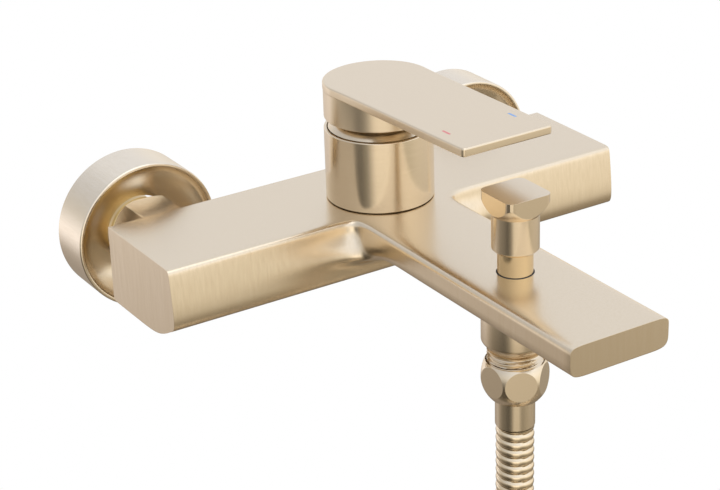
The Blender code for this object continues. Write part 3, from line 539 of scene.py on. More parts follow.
def edge_profile(low: float, high: float, top: float, bottom: float, steps: int = 4) -> list[Point]:
    """Return a slab profile with rounded upper and lower edges.

    Args:
        low: Height of the lower face.
        high: Height of the upper face.
        top: Radius of the upper edge.
        bottom: Radius of the lower edge.
        steps: Segments of each edge.

    Returns:
        (inset, height) points, from the top down.
    """
    turns = [math.pi / 2 * i / steps for i in range(steps + 1)]
    made = [(0.0, high)]
    if top:
        made = [(top - top * math.sin(a), high - top + top * math.cos(a)) for a in turns]
    if not bottom:
        return made + [(0.0, low)]
    return made + [(bottom - bottom * math.cos(a), low + bottom - bottom * math.sin(a))
                   for a in turns]


def regular(sides: int, flats: float, corner: float, turn: float = 0.0) -> list[Point]:
    """Return a regular outline with rounded corners; a flat faces -Y turned by an angle.

    Args:
        sides: Number of sides.
        flats: Width across the flats.
        corner: Radius of the corners.
        turn: Angle by which it is turned.

    Returns:
        The outline's points.
    """
    radius = flats / 2.0 / math.cos(math.pi / sides)
    angles = [turn - math.pi / 2 + math.pi * (2 * i + 1) / sides for i in range(sides)]
    return fillet([(radius * math.cos(a), radius * math.sin(a), corner) for a in angles], True)


def box_mesh(name: str, low: Sequence[float], high: Sequence[float],
             place: Matrix = Matrix.Identity(4)) -> Mesh:
    """Return a box between two corners."""
    outline = [(low[0], low[1]), (high[0], low[1]), (high[0], high[1]), (low[0], high[1])]
    return slab(name, outline, [(0.0, high[2]), (0.0, low[2])], place)


def held(mesh: Mesh) -> bpy.types.Object:
    """Return a temporary object that holds a mesh.

    Args:
        mesh: The mesh.

    Returns:
        The object.
    """
    ob = bpy.data.objects.new(mesh.name, mesh)
    bpy.context.scene.collection.objects.link(ob)
    return ob


def settled(ob: bpy.types.Object, *tools: bpy.types.Object) -> Mesh:
    """Return an object's evaluated mesh, and remove it and its tools.

    Args:
        ob: The object.
        tools: Objects that its modifiers use.

    Returns:
        The evaluated mesh.
    """
    bpy.context.view_layer.update()
    graph = bpy.context.evaluated_depsgraph_get()
    mesh = bpy.data.meshes.new_from_object(ob.evaluated_get(graph), depsgraph=graph)
    for used in (ob, *tools):
        bpy.data.objects.remove(used, do_unlink=True)
    return mesh


def combined(mesh: Mesh, operation: str, *others: Mesh, solver: str = "EXACT") -> Mesh:
    """Return a mesh after a Boolean with each other mesh.

    Args:
        mesh: The first mesh.
        operation: The Boolean's operation.
        others: The other meshes.
        solver: The Boolean's solver.

    Returns:
        The result.
    """
    ob = held(mesh)
    tools = [held(other) for other in others]
    for tool in tools:
        step = ob.modifiers.new(tool.name, "BOOLEAN")
        step.operation = operation
        step.solver = solver
        step.object = tool
    return settled(ob, *tools)


def softened(mesh: Mesh, width: float, angle: float = 30.0, segments: int = 3) -> Mesh:
    """Return a mesh with its sharp edges rounded.

    Args:
        mesh: The mesh.
        width: Width of the rounding.
        angle: Edges sharper than this, in degrees, are rounded.
        segments: Segments of the rounding.

    Returns:
        The rounded mesh.
    """
    shape = bmesh.new()
    shape.from_mesh(mesh)
    bmesh.ops.remove_doubles(shape, verts=shape.verts, dist=0.002 * MM)
    bmesh.ops.dissolve_limit(shape, angle_limit=math.radians(0.5), verts=shape.verts,
                             edges=shape.edges)
    shape.to_mesh(mesh)
    shape.free()
    ob = held(mesh)
    bevel = ob.modifiers.new("Soft edge", "BEVEL")
    bevel.width = width
    bevel.segments = segments
    bevel.limit_method = "ANGLE"
    bevel.angle_limit = math.radians(angle)
    bevel.use_clamp_overlap = True
    return settled(ob)


def at(x: float = 0.0, y: float = 0.0, z: float = 0.0) -> Matrix:
    """Return a placement by a shift."""
    return Matrix.Translation((x, y, z))


def off_wall(x: float, z: float = 0.0) -> Matrix:
    """Return a placement that turns local +Z away from the wall, at (x, 0, z)."""
    return at(x, 0.0, z) @ Matrix.Rotation(math.pi / 2, 4, "X")


def present(name: str, mesh: Mesh, material: Material, body: Body, nodes: Sequence[str],
            angle: float = 32.0, even: bool = True) -> bpy.types.Object:
    """Make a finished piece of a mesh.

    Args:
        name: Name of the piece.
        mesh: Its mesh, in place.
        material: Its finish.
        body: The body that it rides on.
        nodes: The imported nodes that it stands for.
        angle: Edges sharper than this, in degrees, stay sharp.
        even: Whether large flat faces keep their own direction at their edges.

    Returns:
        The piece.
    """
    mesh.materials.clear()
    mesh.materials.append(material)
    mesh.name = name
    mesh.shade_smooth()
    mesh.set_sharp_from_angle(angle=math.radians(angle))
    ob = bpy.data.objects.new(name, mesh)
    bpy.context.scene.collection.objects.link(ob)
    if even:
        flat = ob.modifiers.new("Even faces", "WEIGHTED_NORMAL")
        flat.keep_sharp = True
        flat.weight = 80
    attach(ob, body.value)
    if nodes:
        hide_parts(*nodes)
    LOG.info("%s: %d faces on %s", name, len(mesh.polygons), body.value)
    return ob


# ---- rules for what repeats ----------------------------------------------------------------------
class RuleTree:
    """A Geometry Nodes tree with named sizes, ending in Realize Instances and Set Material."""

    def __init__(self, name: str, sizes: dict[str, float]) -> None:
        """Start a tree.

        Args:
            name: Name of the tree.
            sizes: Its named inputs with their usual values.
        """
        self.group = bpy.data.node_groups.new(name, "GeometryNodeTree")
        face = self.group.interface
        face.new_socket("Geometry", in_out="INPUT", socket_type="NodeSocketGeometry")
        face.new_socket("Finish", in_out="INPUT", socket_type="NodeSocketMaterial")
        for key, value in sizes.items():
            face.new_socket(key, in_out="INPUT",
                            socket_type="NodeSocketFloat").default_value = value
        face.new_socket("Geometry", in_out="OUTPUT", socket_type="NodeSocketGeometry")
        self.given = self.group.nodes.new("NodeGroupInput").outputs
        self.build(self.given["Geometry"])

    def node(self, kind: str, feeds: dict[str, object] | None = None,
             **settings: object) -> bpy.types.Node:
        """Add a node.

        Args:
            kind: Its type, without the common prefix.
            feeds: Values or sockets for its inputs, by name or index.
            settings: Its own settings.

        Returns:
            The node.
        """
        made = self.group.nodes.new(kind)
        for key, value in settings.items():
            setattr(made, key, value)
        for key, value in (feeds or {}).items():
            if isinstance(value, Socket):
                self.group.links.new(value, made.inputs[key])
            else:
                made.inputs[key].default_value = value
        return made

    def math(self, operation: str, *values: object) -> Socket:
        """Return the result of a Math node."""
        return self.node("ShaderNodeMath", dict(enumerate(values)), operation=operation).outputs[0]

    def vector(self, operation: str, *values: object) -> Socket:
        """Return the result of a Vector Math node.

        Args:
            operation: The node's operation.
            values: Sockets or values for its inputs.

        Returns:
            A vector socket, or a value socket for a length.
        """
        feeds = dict(enumerate(values))
        if operation == "SCALE":
            feeds = {0: values[0], "Scale": values[1]}
        made = self.node("ShaderNodeVectorMath", feeds, operation=operation)
        return made.outputs["Value" if operation == "LENGTH" else "Vector"]

    def close(self, geometry: Socket) -> None:
        """End the tree in Realize Instances and Set Material.

        Args:
            geometry: What the rule made.
        """
        real = self.node("GeometryNodeRealizeInstances", {"Geometry": geometry})
        dressed = self.node("GeometryNodeSetMaterial",
                            {"Geometry": real.outputs[0], "Material": self.given["Finish"]})
        self.node("NodeGroupOutput", {0: dressed.outputs[0]})

    def build(self, geometry: Socket) -> None:
        """Add the rule's own nodes, from the incoming geometry on."""
        raise NotImplementedError

    def run(self, ob: bpy.types.Object, material: Material, **sizes: float) -> Mesh:
        """Apply the rule to a temporary object.

        Args:
            ob: The object, which is removed.
            material: The finish of the result.
            sizes: Values for the named inputs.

        Returns:
            A plain mesh.
        """
        rule = ob.modifiers.new(self.group.name, "NODES")
        rule.node_group = self.group
        for item in self.group.interface.items_tree:
            if item.item_type == "SOCKET" and item.in_out == "INPUT":
                if item.name == "Finish":
                    rule[item.identifier] = material
                elif item.name in sizes:
                    rule[item.identifier] = float(sizes[item.name])
        return settled(ob)


class ThreadRule(RuleTree):
    """Cuts a screw thread into the outer wall of a mesh turned about Z."""

    def build(self, geometry: Socket) -> None:
        """Move the wall in by a groove that climbs a pitch each turn.

        Args:
            geometry: The turned mesh.
        """
        place = self.node("GeometryNodeInputPosition").outputs[0]
        x, y, z = self.node("ShaderNodeSeparateXYZ", {0: place}).outputs
        level = self.node("ShaderNodeCombineXYZ", {0: x, 1: y}).outputs[0]
        turn = self.math("DIVIDE", self.math("ARCTAN2", y, x), 2.0 * math.pi)
        phase = self.math("FRACT",
                          self.math("SUBTRACT", self.math("DIVIDE", z, self.given["Pitch"]), turn))
        away = self.math("ABSOLUTE", self.math("MULTIPLY_ADD", phase, 2.0, -1.0))
        groove = self.math("SMOOTH_MIN", self.math("MULTIPLY", away, 1.25), 1.0, 0.15)
        rise = self.math("DIVIDE", self.math("SUBTRACT", z, self.given["Low"]), self.given["Pitch"])
        fall = self.math("DIVIDE", self.math("SUBTRACT", self.given["High"], z),
                         self.given["Pitch"])
        within = self.node("ShaderNodeClamp", {0: self.math("MINIMUM", rise, fall)}).outputs[0]
        depth = self.math("MULTIPLY", self.math("MULTIPLY", groove, within), self.given["Depth"])
        outer = self.math("GREATER_THAN", self.vector("LENGTH", level), self.given["Core"])
        shift = self.vector("SCALE", self.vector("NORMALIZE", level),
                            self.math("MULTIPLY", depth, self.math("MULTIPLY", outer, -1.0)))
        moved = self.node("GeometryNodeSetPosition", {"Geometry": geometry, "Offset": shift})
        self.close(moved.outputs[0])


class HoseRule(RuleTree):
    """Sweeps a tube of wound metal band along a curve."""

    SIDES = 20
    SAMPLES = 9.0

    def build(self, geometry: Socket) -> None:
        """Sweep a ring, then draw it in by a groove that winds along the tube.

        Args:
            geometry: The curve.
        """
        step = self.math("DIVIDE", self.given["Pitch"], self.SAMPLES)
        even = self.node("GeometryNodeResampleCurve", {"Curve": geometry, "Length": step},
                         mode="LENGTH")
        line = self.node("GeometryNodeCaptureAttribute")
        line.domain = "POINT"
        line.capture_items.new("VECTOR", "Centre")
        line.capture_items.new("FLOAT", "Along")
        self.group.links.new(even.outputs[0], line.inputs["Geometry"])
        self.group.links.new(self.node("GeometryNodeInputPosition").outputs[0],
                             line.inputs["Centre"])
        self.group.links.new(self.node("GeometryNodeSplineParameter").outputs["Length"],
                             line.inputs["Along"])
        ring = self.node("GeometryNodeCurvePrimitiveCircle",
                         {"Resolution": self.SIDES, "Radius": self.given["Radius"]}, mode="RADIUS")
        round_ = self.node("GeometryNodeCaptureAttribute")
        round_.domain = "POINT"
        round_.capture_items.new("FLOAT", "Around")
        self.group.links.new(ring.outputs[0], round_.inputs["Geometry"])
        self.group.links.new(self.node("GeometryNodeSplineParameter").outputs["Factor"],
                             round_.inputs["Around"])
        tube = self.node("GeometryNodeCurveToMesh", {
            "Curve": line.outputs["Geometry"], "Profile Curve": round_.outputs["Geometry"],
            "Fill Caps": True})
        phase = self.math("FRACT", self.math(
            "ADD", self.math("DIVIDE", line.outputs["Along"], self.given["Pitch"]),
            round_.outputs["Around"]))
        away = self.math("ABSOLUTE", self.math("MULTIPLY_ADD", phase, 2.0, -1.0))
        depth = self.math("MULTIPLY", self.math("POWER", away, 3.0), self.given["Depth"])
        place = self.node("GeometryNodeInputPosition").outputs[0]
        outward = self.vector("NORMALIZE", self.vector("SUBTRACT", place, line.outputs["Centre"]))
        shift = self.vector("SCALE", outward, self.math("MULTIPLY", depth, -1.0))
        moved = self.node("GeometryNodeSetPosition", {"Geometry": tube.outputs[0], "Offset": shift})
        self.close(moved.outputs[0])


class SieveRule(RuleTree):
    """Fills a round opening about Z with crossed bars."""

    BARS = 15

    def build(self, geometry: Socket) -> None:
        """Lay bars side by side, each as long as the circle is wide there, and cross two layers.

        Args:
            geometry: The rim round the sieve.
        """
        reach = self.math("MULTIPLY", self.given["Radius"], -0.94)
        step = self.math("DIVIDE", self.math("MULTIPLY", self.given["Radius"], 1.88),
                         self.BARS - 1.0)
        start = self.node("ShaderNodeCombineXYZ", {1: reach, 2: self.given["Level"]}).outputs[0]
        stride = self.node("ShaderNodeCombineXYZ", {1: step}).outputs[0]
        line = self.node("GeometryNodeMeshLine",
                         {"Count": self.BARS, "Start Location": start, "Offset": stride},
                         mode="OFFSET")
        place = self.node("GeometryNodeInputPosition").outputs[0]
        y = self.node("ShaderNodeSeparateXYZ", {0: place}).outputs[1]
        square = self.math("SUBTRACT",
                           self.math("MULTIPLY", self.given["Radius"], self.given["Radius"]),
                           self.math("MULTIPLY", y, y))
        width = self.math("MULTIPLY", self.math("SQRT", square), 2.0)
        size = self.node("ShaderNodeCombineXYZ",
                         {0: width, 1: self.given["Bar"], 2: self.given["Height"]}).outputs[0]
        unit = self.node("GeometryNodeMeshCube", {"Size": (1.0, 1.0, 1.0)})
        bars = self.node("GeometryNodeInstanceOnPoints",
                         {"Points": line.outputs[0], "Instance": unit.outputs[0], "Scale": size})
        crossed = self.node("GeometryNodeTransform",
                            {"Geometry": bars.outputs[0], "Rotation": (0.0, 0.0, math.pi / 2)})
        all_ = self.node("GeometryNodeJoinGeometry")
        for part in (geometry, bars.outputs[0], crossed.outputs[0]):
            self.group.links.new(part, all_.inputs[0])
        self.close(all_.outputs[0])


# ---- casting -------------------------------------------------------------------------------------
@dataclass
class Casting:
    """Bar, spout and cartridge boss in one casting, with its waterways."""

    bar_half: float = 98.9 * MM
    bar_rear: float = 34.9 * MM
    bar_depth: float = 49.6 * MM
    bar_top: float = 15.3 * MM
    bar_height: float = 30.0 * MM
    spout_half: float = 20.6 * MM
    spout_reach: float = 211.8 * MM
    spout_thick: float = 11.5 * MM
    edge_round: float = 4.0 * MM
    root_fillet: float = 10.0 * MM
    front_height: float = 22.1 * MM
    side_round: float = 8.0 * MM
    union_x: float = UNION_X
    tower_y: float = -67.7 * MM
    outlet_y: float = -154.0 * MM
    aerator_y: float = -197.0 * MM
    rim: float = 0.7 * MM
    levels: int = 4
    boss_r: float = 19.0 * MM
    boss_top: float = 30.0 * MM
    tail_neck_r: float = 9.6 * MM
    tail_r: float = 12.9 * MM
    tail_shoulder: float = 30.6 * MM
    tail_end: float = 28.4 * MM
    chamber_r: float = 17.9 * MM
    chamber_low: float = 2.0 * MM
    stem_hole_r: float = 6.8 * MM
    aerator_hole_r: float = 11.3 * MM
    aerator_hole_depth: float = 5.0 * MM
    port_x: float = 7.794 * MM
    port_back: float = 4.5 * MM
    port_r: float = 2.8 * MM
    supply_r: float = 7.0 * MM
    cross_r: float = 4.6 * MM
    cross_rise: float = 9.6 * MM
    spout_way_r: float = 3.6 * MM

    def cage(self) -> Mesh:
        """Return the coarse cage that subdivision rounds and blends.

        Returns:
            The cage, with creased ends.
        """
        xs = [0.0, self.spout_half - self.side_round, self.spout_half,
              self.spout_half + self.root_fillet,
              self.bar_half - self.edge_round, self.bar_half]
        xs = [-x for x in reversed(xs[1:])] + xs
        front_y = -(self.bar_rear + self.bar_depth)
        ys = [-self.bar_rear, -self.bar_rear - 3.0 * MM, -self.bar_rear - 0.5 * self.bar_depth,
              front_y + self.edge_round, front_y, front_y - self.root_fillet,
              front_y - 3.2 * self.root_fillet,
              (front_y - self.spout_reach) / 2 - self.root_fillet, -self.spout_reach]
        bottom = self.bar_top - self.bar_height
        spout_bottom = self.bar_top - self.spout_thick
        edge_z = self.bar_top - self.front_height
        zs = [bottom, bottom + 3.2 * MM, edge_z, (spout_bottom + edge_z) / 2, spout_bottom,
              (self.bar_top + spout_bottom) / 2, self.bar_top - self.edge_round + MM, self.bar_top]
        front, spout_low = 4, 4
        section = {(front, 0): (7.0 * MM, 3.3 * MM), (front - 1, 0): (10.5 * MM, 0.1 * MM),
                   (front, 1): (3.0 * MM, 2.6 * MM), (front - 2, 0): (3.0 * MM, 0.0),
                   (front - 1, 1): (9.0 * MM, 2.6 * MM), (front - 1, 2): (2.0 * MM, 0.0),
                   (front, 2): (-0.1 * MM, -MM), (front, 4): (0.5 * MM, 0.0),
                   (front, 5): (1.2 * MM, 0.0),
                   (front, 6): (1.6 * MM, 0.0), (front, 7): (2.1 * MM, 0.0),
                   (front - 1, 7): (MM, 0.0)}
        root = {(front, spout_low): (-7.0 * MM, -4.0 * MM),
                (front + 1, spout_low): (-5.0 * MM, 0.4 * MM)}

        def filled(i: int, j: int, k: int) -> bool:
            """Say whether a cell is metal.

            Args:
                i: Cell along X.
                j: Cell along Y.
                k: Cell along Z.

            Returns:
                Whether it is.
            """
            if not (0 <= i < len(xs) - 1 and 0 <= j < len(ys) - 1 and 0 <= k < len(zs) - 1):
                return False
            across = max(abs(xs[i]), abs(xs[i + 1]))
            return j < front or (k >= spout_low and across <= self.spout_half + SAME_PLACE)

        shape = bmesh.new()
        corners: dict[tuple[int, int, int], bmesh.types.BMVert] = {}

        def corner(i: int, j: int, k: int) -> bmesh.types.BMVert:
            """Return the vertex of a cell corner.

            Args:
                i: Place along X.
                j: Place along Y.
                k: Place along Z.

            Returns:
                The vertex, made at its first use.
            """
            if (i, j, k) not in corners:
                dy, dz = section.get((j, k), (0.0, 0.0))
                if abs(xs[i]) <= self.spout_half + SAME_PLACE:
                    dy, dz = root.get((j, k), (dy, dz))
                corners[i, j, k] = shape.verts.new((xs[i], ys[j] + dy, zs[k] + dz))
            return corners[i, j, k]

        sides = {
            (-1, 0, 0): ((0, 0, 0), (0, 0, 1), (0, 1, 1), (0, 1, 0)),
            (1, 0, 0): ((1, 0, 0), (1, 1, 0), (1, 1, 1), (1, 0, 1)),
            (0, -1, 0): ((0, 0, 0), (1, 0, 0), (1, 0, 1), (0, 0, 1)),
            (0, 1, 0): ((0, 1, 0), (0, 1, 1), (1, 1, 1), (1, 1, 0)),
            (0, 0, -1): ((0, 0, 0), (0, 1, 0), (1, 1, 0), (1, 0, 0)),
            (0, 0, 1): ((0, 0, 1), (1, 0, 1), (1, 1, 1), (0, 1, 1)),
        }
        cells = [(i, j, k) for i in range(len(xs) - 1) for j in range(len(ys) - 1)
                 for k in range(len(zs) - 1)]
        for i, j, k in (c for c in cells if filled(*c)):
            for (di, dj, dk), loop in sides.items():
                if not filled(i + di, j + dj, k + dk):
                    shape.faces.new([corner(i + a, j + b, k + c) for a, b, c in loop])
        bmesh.ops.recalc_face_normals(shape, faces=shape.faces)
        crease = shape.edges.layers.float.new("crease_edge")
        for edge in shape.edges:
            ends = [v.co for v in edge.verts]
            on_end = all(abs(abs(p.x) - self.bar_half) < SAME_PLACE for p in ends)
            on_tip = all(abs(p.y + self.spout_reach) < SAME_PLACE for p in ends)
            on_rear = all(abs(p.y + self.bar_rear) < SAME_PLACE for p in ends)
            on_back = on_rear and all(abs(p.z - self.bar_top) < SAME_PLACE for p in ends)
            rim = len({tuple(round(n, 3) for n in f.normal) for f in edge.link_faces}) > 1
            if on_back or ((on_end or on_tip) and rim):
                edge[crease] = 1.0
        mesh = bpy.data.meshes.new("casting")
        shape.to_mesh(mesh)
        shape.free()
        return mesh

    def rounded(self) -> Mesh:
        """Return the subdivided casting with a slight break on its ends.

        Returns:
            The rounded mesh.
        """
        ob = held(self.cage())
        smooth = ob.modifiers.new("Round", "SUBSURF")
        smooth.levels = smooth.render_levels = self.levels
        bevel = ob.modifiers.new("Rim", "BEVEL")
        bevel.width = self.rim
        bevel.segments = 3
        bevel.limit_method = "ANGLE"
        bevel.angle_limit = math.radians(50.0)
        return settled(ob)

    def holes(self) -> list[Mesh]:
        """Return the cutters of chamber, bores and waterways.

        Returns:
            A mesh for each cutter.
        """
        tower = at(y=self.tower_y)
        spout_bottom = self.bar_top - self.spout_thick
        cross_z = self.bar_top - self.bar_height + self.cross_rise
        port_y = self.tower_y + self.port_back
        made = [pin("chamber", self.chamber_r, self.chamber_low, self.boss_top + MM, tower, 96),
                pin("stem_hole", self.stem_hole_r, spout_bottom - MM, self.bar_top + MM,
                    at(y=self.outlet_y), 96),
                pin("aerator_hole", self.aerator_hole_r, spout_bottom - MM,
                    spout_bottom + self.aerator_hole_depth, at(y=self.aerator_y), 96)]
        for side in (-1, 1):
            turn = Matrix.Rotation(side * math.pi / 2, 4, "Y")
            made.append(pin("port", self.port_r, cross_z, self.chamber_low + MM,
                            at(side * self.port_x, port_y)))
            made.append(pin("supply", self.supply_r, self.tail_end - MM, -port_y,
                            off_wall(side * self.union_x)))
            made.append(pin("cross", self.cross_r, self.port_x - MM, self.union_x,
                            at(y=port_y, z=cross_z) @ turn))
        made.append(pin("spout_way", self.spout_way_r, self.chamber_r - self.tower_y - 2.0 * MM,
                        -self.aerator_y, off_wall(0.0, (self.bar_top + spout_bottom) / 2)))
        return made

    def build(self) -> None:
        """Make the casting."""
        inside = self.bar_top - 3.0 * MM
        boss = lathe("boss", fillet([
            (0.0, self.boss_top, 0.0), (self.boss_r, self.boss_top, 0.4 * MM),
            (self.boss_r, inside, 0.0), (0.0, inside, 0.0)]), at(y=self.tower_y))
        rear, low = self.bar_rear + 2.0 * MM, self.tail_end
        neck, shoulder = self.tail_neck_r, self.tail_shoulder
        tails = [lathe("tail", fillet([
            (0.0, rear, 0.0), (neck, rear, 0.0), (neck, shoulder, 0.3 * MM),
            (self.tail_r, shoulder, 0.3 * MM), (self.tail_r, low, 0.3 * MM), (0.0, low, 0.0)]),
            off_wall(x)) for x in (-self.union_x, self.union_x)]
        mesh = combined(self.rounded(), "UNION", boss, *tails)
        mesh = combined(mesh, "DIFFERENCE", *self.holes(), solver="MANIFOLD")
        finish = BrushedMetal("satin_casting", grain=Grain.ALONG_Z, fine=1300.0, drawn=60.0,
                              roughness=0.25, streak=0.5)
        present("casting", mesh, finish.make(), Body.FIXED, ["mixer_body"], even=False)


# ---- wall unions ---------------------------------------------------------------------------------
@dataclass
class WallUnion:
    """One supply: round cover, threaded union and coupling nut."""

    side: str
    x: float
    cover_r: float = 29.06 * MM
    cover_depth: float = 19.3 * MM
    cover_wall: float = 1.5 * MM
    hole: float = 13.5 * MM
    bore: float = 7.0 * MM
    union_r: float = 13.1 * MM
    union_pitch: float = 1.814 * MM
    wall_r: float = 10.48 * MM
    wall_pitch: float = 1.814 * MM
    wall_len: float = 18.0 * MM
    reach: float = 25.8 * MM
    nut_flats: float = 28.0 * MM
    nut_rear: float = 15.5 * MM
    nut_front: float = 34.4 * MM
    nut_bore: float = 10.0 * MM
    thread_depth: float = 1.1 * MM

    def cover(self) -> Mesh:
        """Return the round cover: a thin straight wall round a deep bowl.

        Returns:
            The cover's mesh.
        """
        floor = 0.42 * self.cover_depth
        inner = self.cover_r - self.cover_wall
        deep = floor + self.cover_wall * 2
        bowl = []
        steps = 22
        for i in range(steps + 1):
            a = math.pi / 2 * i / steps
            bowl.append((self.hole + (inner - self.hole) * math.sin(a),
                         deep + (self.cover_depth - 0.3 * MM - deep) * (1.0 - math.cos(a))))
        rim = fillet([(inner, self.cover_depth - 0.9 * MM, 0.0),
                      (inner, self.cover_depth, 0.45 * MM),
                      (self.cover_r, self.cover_depth, 0.8 * MM), (self.cover_r, 0.0, 0.25 * MM),
                      (inner, 0.0, 0.2 * MM),
                      (inner, floor, 0.5 * MM), (self.hole, floor, 0.2 * MM),
                      (self.hole, deep - 0.2 * MM, 0.0)], steps=5)
        return lathe("cover", bowl[:-1] + rim, off_wall(self.x), 128)

    def union(self, rule: ThreadRule, material: Material) -> Mesh:
        """Return the wall union with both threads.

        Args:
            rule: The thread rule.
            material: The union's finish.

        Returns:
            The union's mesh.
        """
        seat = 12.0 * MM
        outline = [(self.bore, self.reach), (self.union_r - 0.8 * MM, self.reach)]
        outline += [(self.union_r, z)
                    for z in dense(self.reach - 0.8 * MM, seat, self.union_pitch / 9)]
        outline += [(self.union_r - 1.5 * MM, seat - 1.5 * MM), (self.union_r - 1.5 * MM, 0.0)]
        outline += [(self.wall_r, z)
                    for z in dense(-0.5 * MM, MM - self.wall_len, self.wall_pitch / 9)]
        outline += [(self.wall_r - MM, -self.wall_len), (self.bore, -self.wall_len)]
        mesh = lathe("union", outline, steps=64)
        mesh = rule.run(held(mesh), material, Low=seat + 0.2 * MM, High=self.reach - 0.2 * MM,
                        Pitch=self.union_pitch, Depth=self.thread_depth,
                        Core=self.union_r - 0.1 * MM)
        mesh = rule.run(held(mesh), material, Low=0.8 * MM - self.wall_len, High=-MM,
                        Pitch=self.wall_pitch, Depth=self.thread_depth, Core=self.bore + 2.0 * MM)
        mesh.transform(off_wall(self.x))
        return mesh

    def nut(self) -> Mesh:
        """Return the coupling nut, with turned chamfers on its hexagon.

        Returns:
            The nut's mesh.
        """
        corner = self.nut_flats / 2 / math.cos(math.pi / 6)
        front, rear = self.nut_front, self.nut_rear
        hexagon = slab("hexagon", regular(6, self.nut_flats, 1.0 * MM), [(0.0, front), (0.0, rear)])
        cone = lathe("cone", fillet([
            (0.0, front, 0.0), (corner - 1.7 * MM, front, 0.4 * MM),
            (corner + 0.2 * MM, front - 2.4 * MM, 3.0 * MM),
            (corner + 0.2 * MM, rear + 2.4 * MM, 3.0 * MM), (corner - 1.7 * MM, rear, 0.4 * MM),
            (0.0, rear, 0.0)]))
        hole = lathe("hole", [(0.0, front + MM), (self.nut_bore, front + MM),
                              (self.nut_bore, front - 3.0 * MM),
                              (self.hole, front - 3.0 * MM), (self.hole, rear - MM),
                              (0.0, rear - MM)])
        mesh = combined(hexagon, "INTERSECT", cone)
        mesh = softened(mesh, 0.25 * MM, 14.0)
        mesh = combined(mesh, "DIFFERENCE", hole)
        mesh.transform(off_wall(self.x))
        return mesh

    def build(self, rule: ThreadRule) -> None:
        """Make the supply's pieces.

        Args:
            rule: The thread rule.
        """
        centre = (self.x, 0.0, 0.0)
        bowl = BrushedMetal("satin_cover_" + self.side, light=(0.86, 0.765, 0.62),
                            dark=(0.80, 0.69, 0.53),
                            grain=Grain.SPOKES, axis=Axis.Y, centre=centre, drawn=160.0,
                            streak=0.45)
        present("cover_" + self.side, self.cover(), bowl.make(), Body.FIXED,
                ["escutcheon_" + self.side])
        brass = BrushedMetal("raw_brass_" + self.side, light=(0.78, 0.60, 0.30),
                             dark=(0.66, 0.48, 0.21),
                             roughness=0.36, grain=Grain.TURNED, axis=Axis.Y, centre=centre).make()
        present("supply_union_" + self.side, self.union(rule, brass), brass, Body.FIXED,
                ["wall_union_" + self.side], angle=50.0, even=False)
        metal = BrushedMetal("satin_nut_" + self.side, light=(0.88, 0.80, 0.68),
                             dark=(0.82, 0.72, 0.58),
                             grain=Grain.ALONG_Y, centre=centre).make()
        present("supply_nut_" + self.side, self.nut(), metal, Body.FIXED,
                ["coupling_nut_" + self.side])


# ---- cartridge tower -----------------------------------------------------------------------------
@dataclass
class Tower:
    """Sleeve round the cartridge and the ball-shaped collar above it."""

    y: float = -67.7 * MM
    sleeve_r: float = 20.6 * MM
    sleeve_wall: float = 1.2 * MM
    sleeve_top: float = 43.5 * MM
    sleeve_low: float = 15.6 * MM
    pivot_z: float = 28.0 * MM
    dome_r: float = 24.6 * MM
    dome_wall: float = 1.2 * MM
    dome_low: float = 37.1 * MM
    gap: float = 0.3 * MM
    slot_half: float = 4.5 * MM
    slot_front: float = -4.3 * MM
    slot_rear: float = 14.9 * MM

    def sleeve(self) -> Mesh:
        """Return the sleeve, with rounded rims.

        Returns:
            The sleeve's mesh.
        """
        inner = self.sleeve_r - self.sleeve_wall
        return lathe("sleeve", fillet([
            (inner, self.sleeve_top, 0.3 * MM), (self.sleeve_r, self.sleeve_top, 0.5 * MM),
            (self.sleeve_r, self.sleeve_low, 0.35 * MM), (inner, self.sleeve_low, 0.2 * MM)], True,
                                      5),
            at(y=self.y), 160)

    def collar(self) -> Mesh:
        """Return the collar: a straight skirt under a slotted dome.

        Returns:
            The collar's mesh.
        """
        skirt = self.sleeve_r - self.sleeve_wall - self.gap
        outer_start = math.degrees(math.acos(skirt / self.dome_r))
        inner = self.dome_r - self.dome_wall
        inner_skirt = skirt - self.dome_wall
        inner_start = math.degrees(math.acos(inner_skirt / inner))
        low = self.dome_low - self.pivot_z
        outline = [(0.0, self.dome_r)] + arc((0.0, 0.0), self.dome_r, 88.0, outer_start, 28)
        outline += [(skirt, low), (inner_skirt, low)]
        outline += arc((0.0, 0.0), inner, inner_start, 88.0, 20) + [(0.0, inner)]
        place = at(y=self.y, z=self.pivot_z)
        slot = box_mesh("slot", (-self.slot_half, self.slot_front, inner * 0.5),
                        (self.slot_half, self.slot_rear, self.dome_r + MM), place)
        return combined(lathe("collar", outline, place, 128), "DIFFERENCE", slot)

    def build(self) -> None:
        """Make sleeve and collar."""
        centre = (0.0, self.y, 0.0)
        around = BrushedMetal("satin_sleeve", grain=Grain.TURNED, centre=centre, roughness=0.21,
                              streak=0.6)
        present("sleeve", self.sleeve(), around.make(), Body.FIXED, ["cartridge_sleeve"])
        dome = BrushedMetal("satin_collar", grain=Grain.TURNED, centre=centre, roughness=0.24)
        present("collar", self.collar(), dome.make(), Body.TURN, ["dome_collar"])


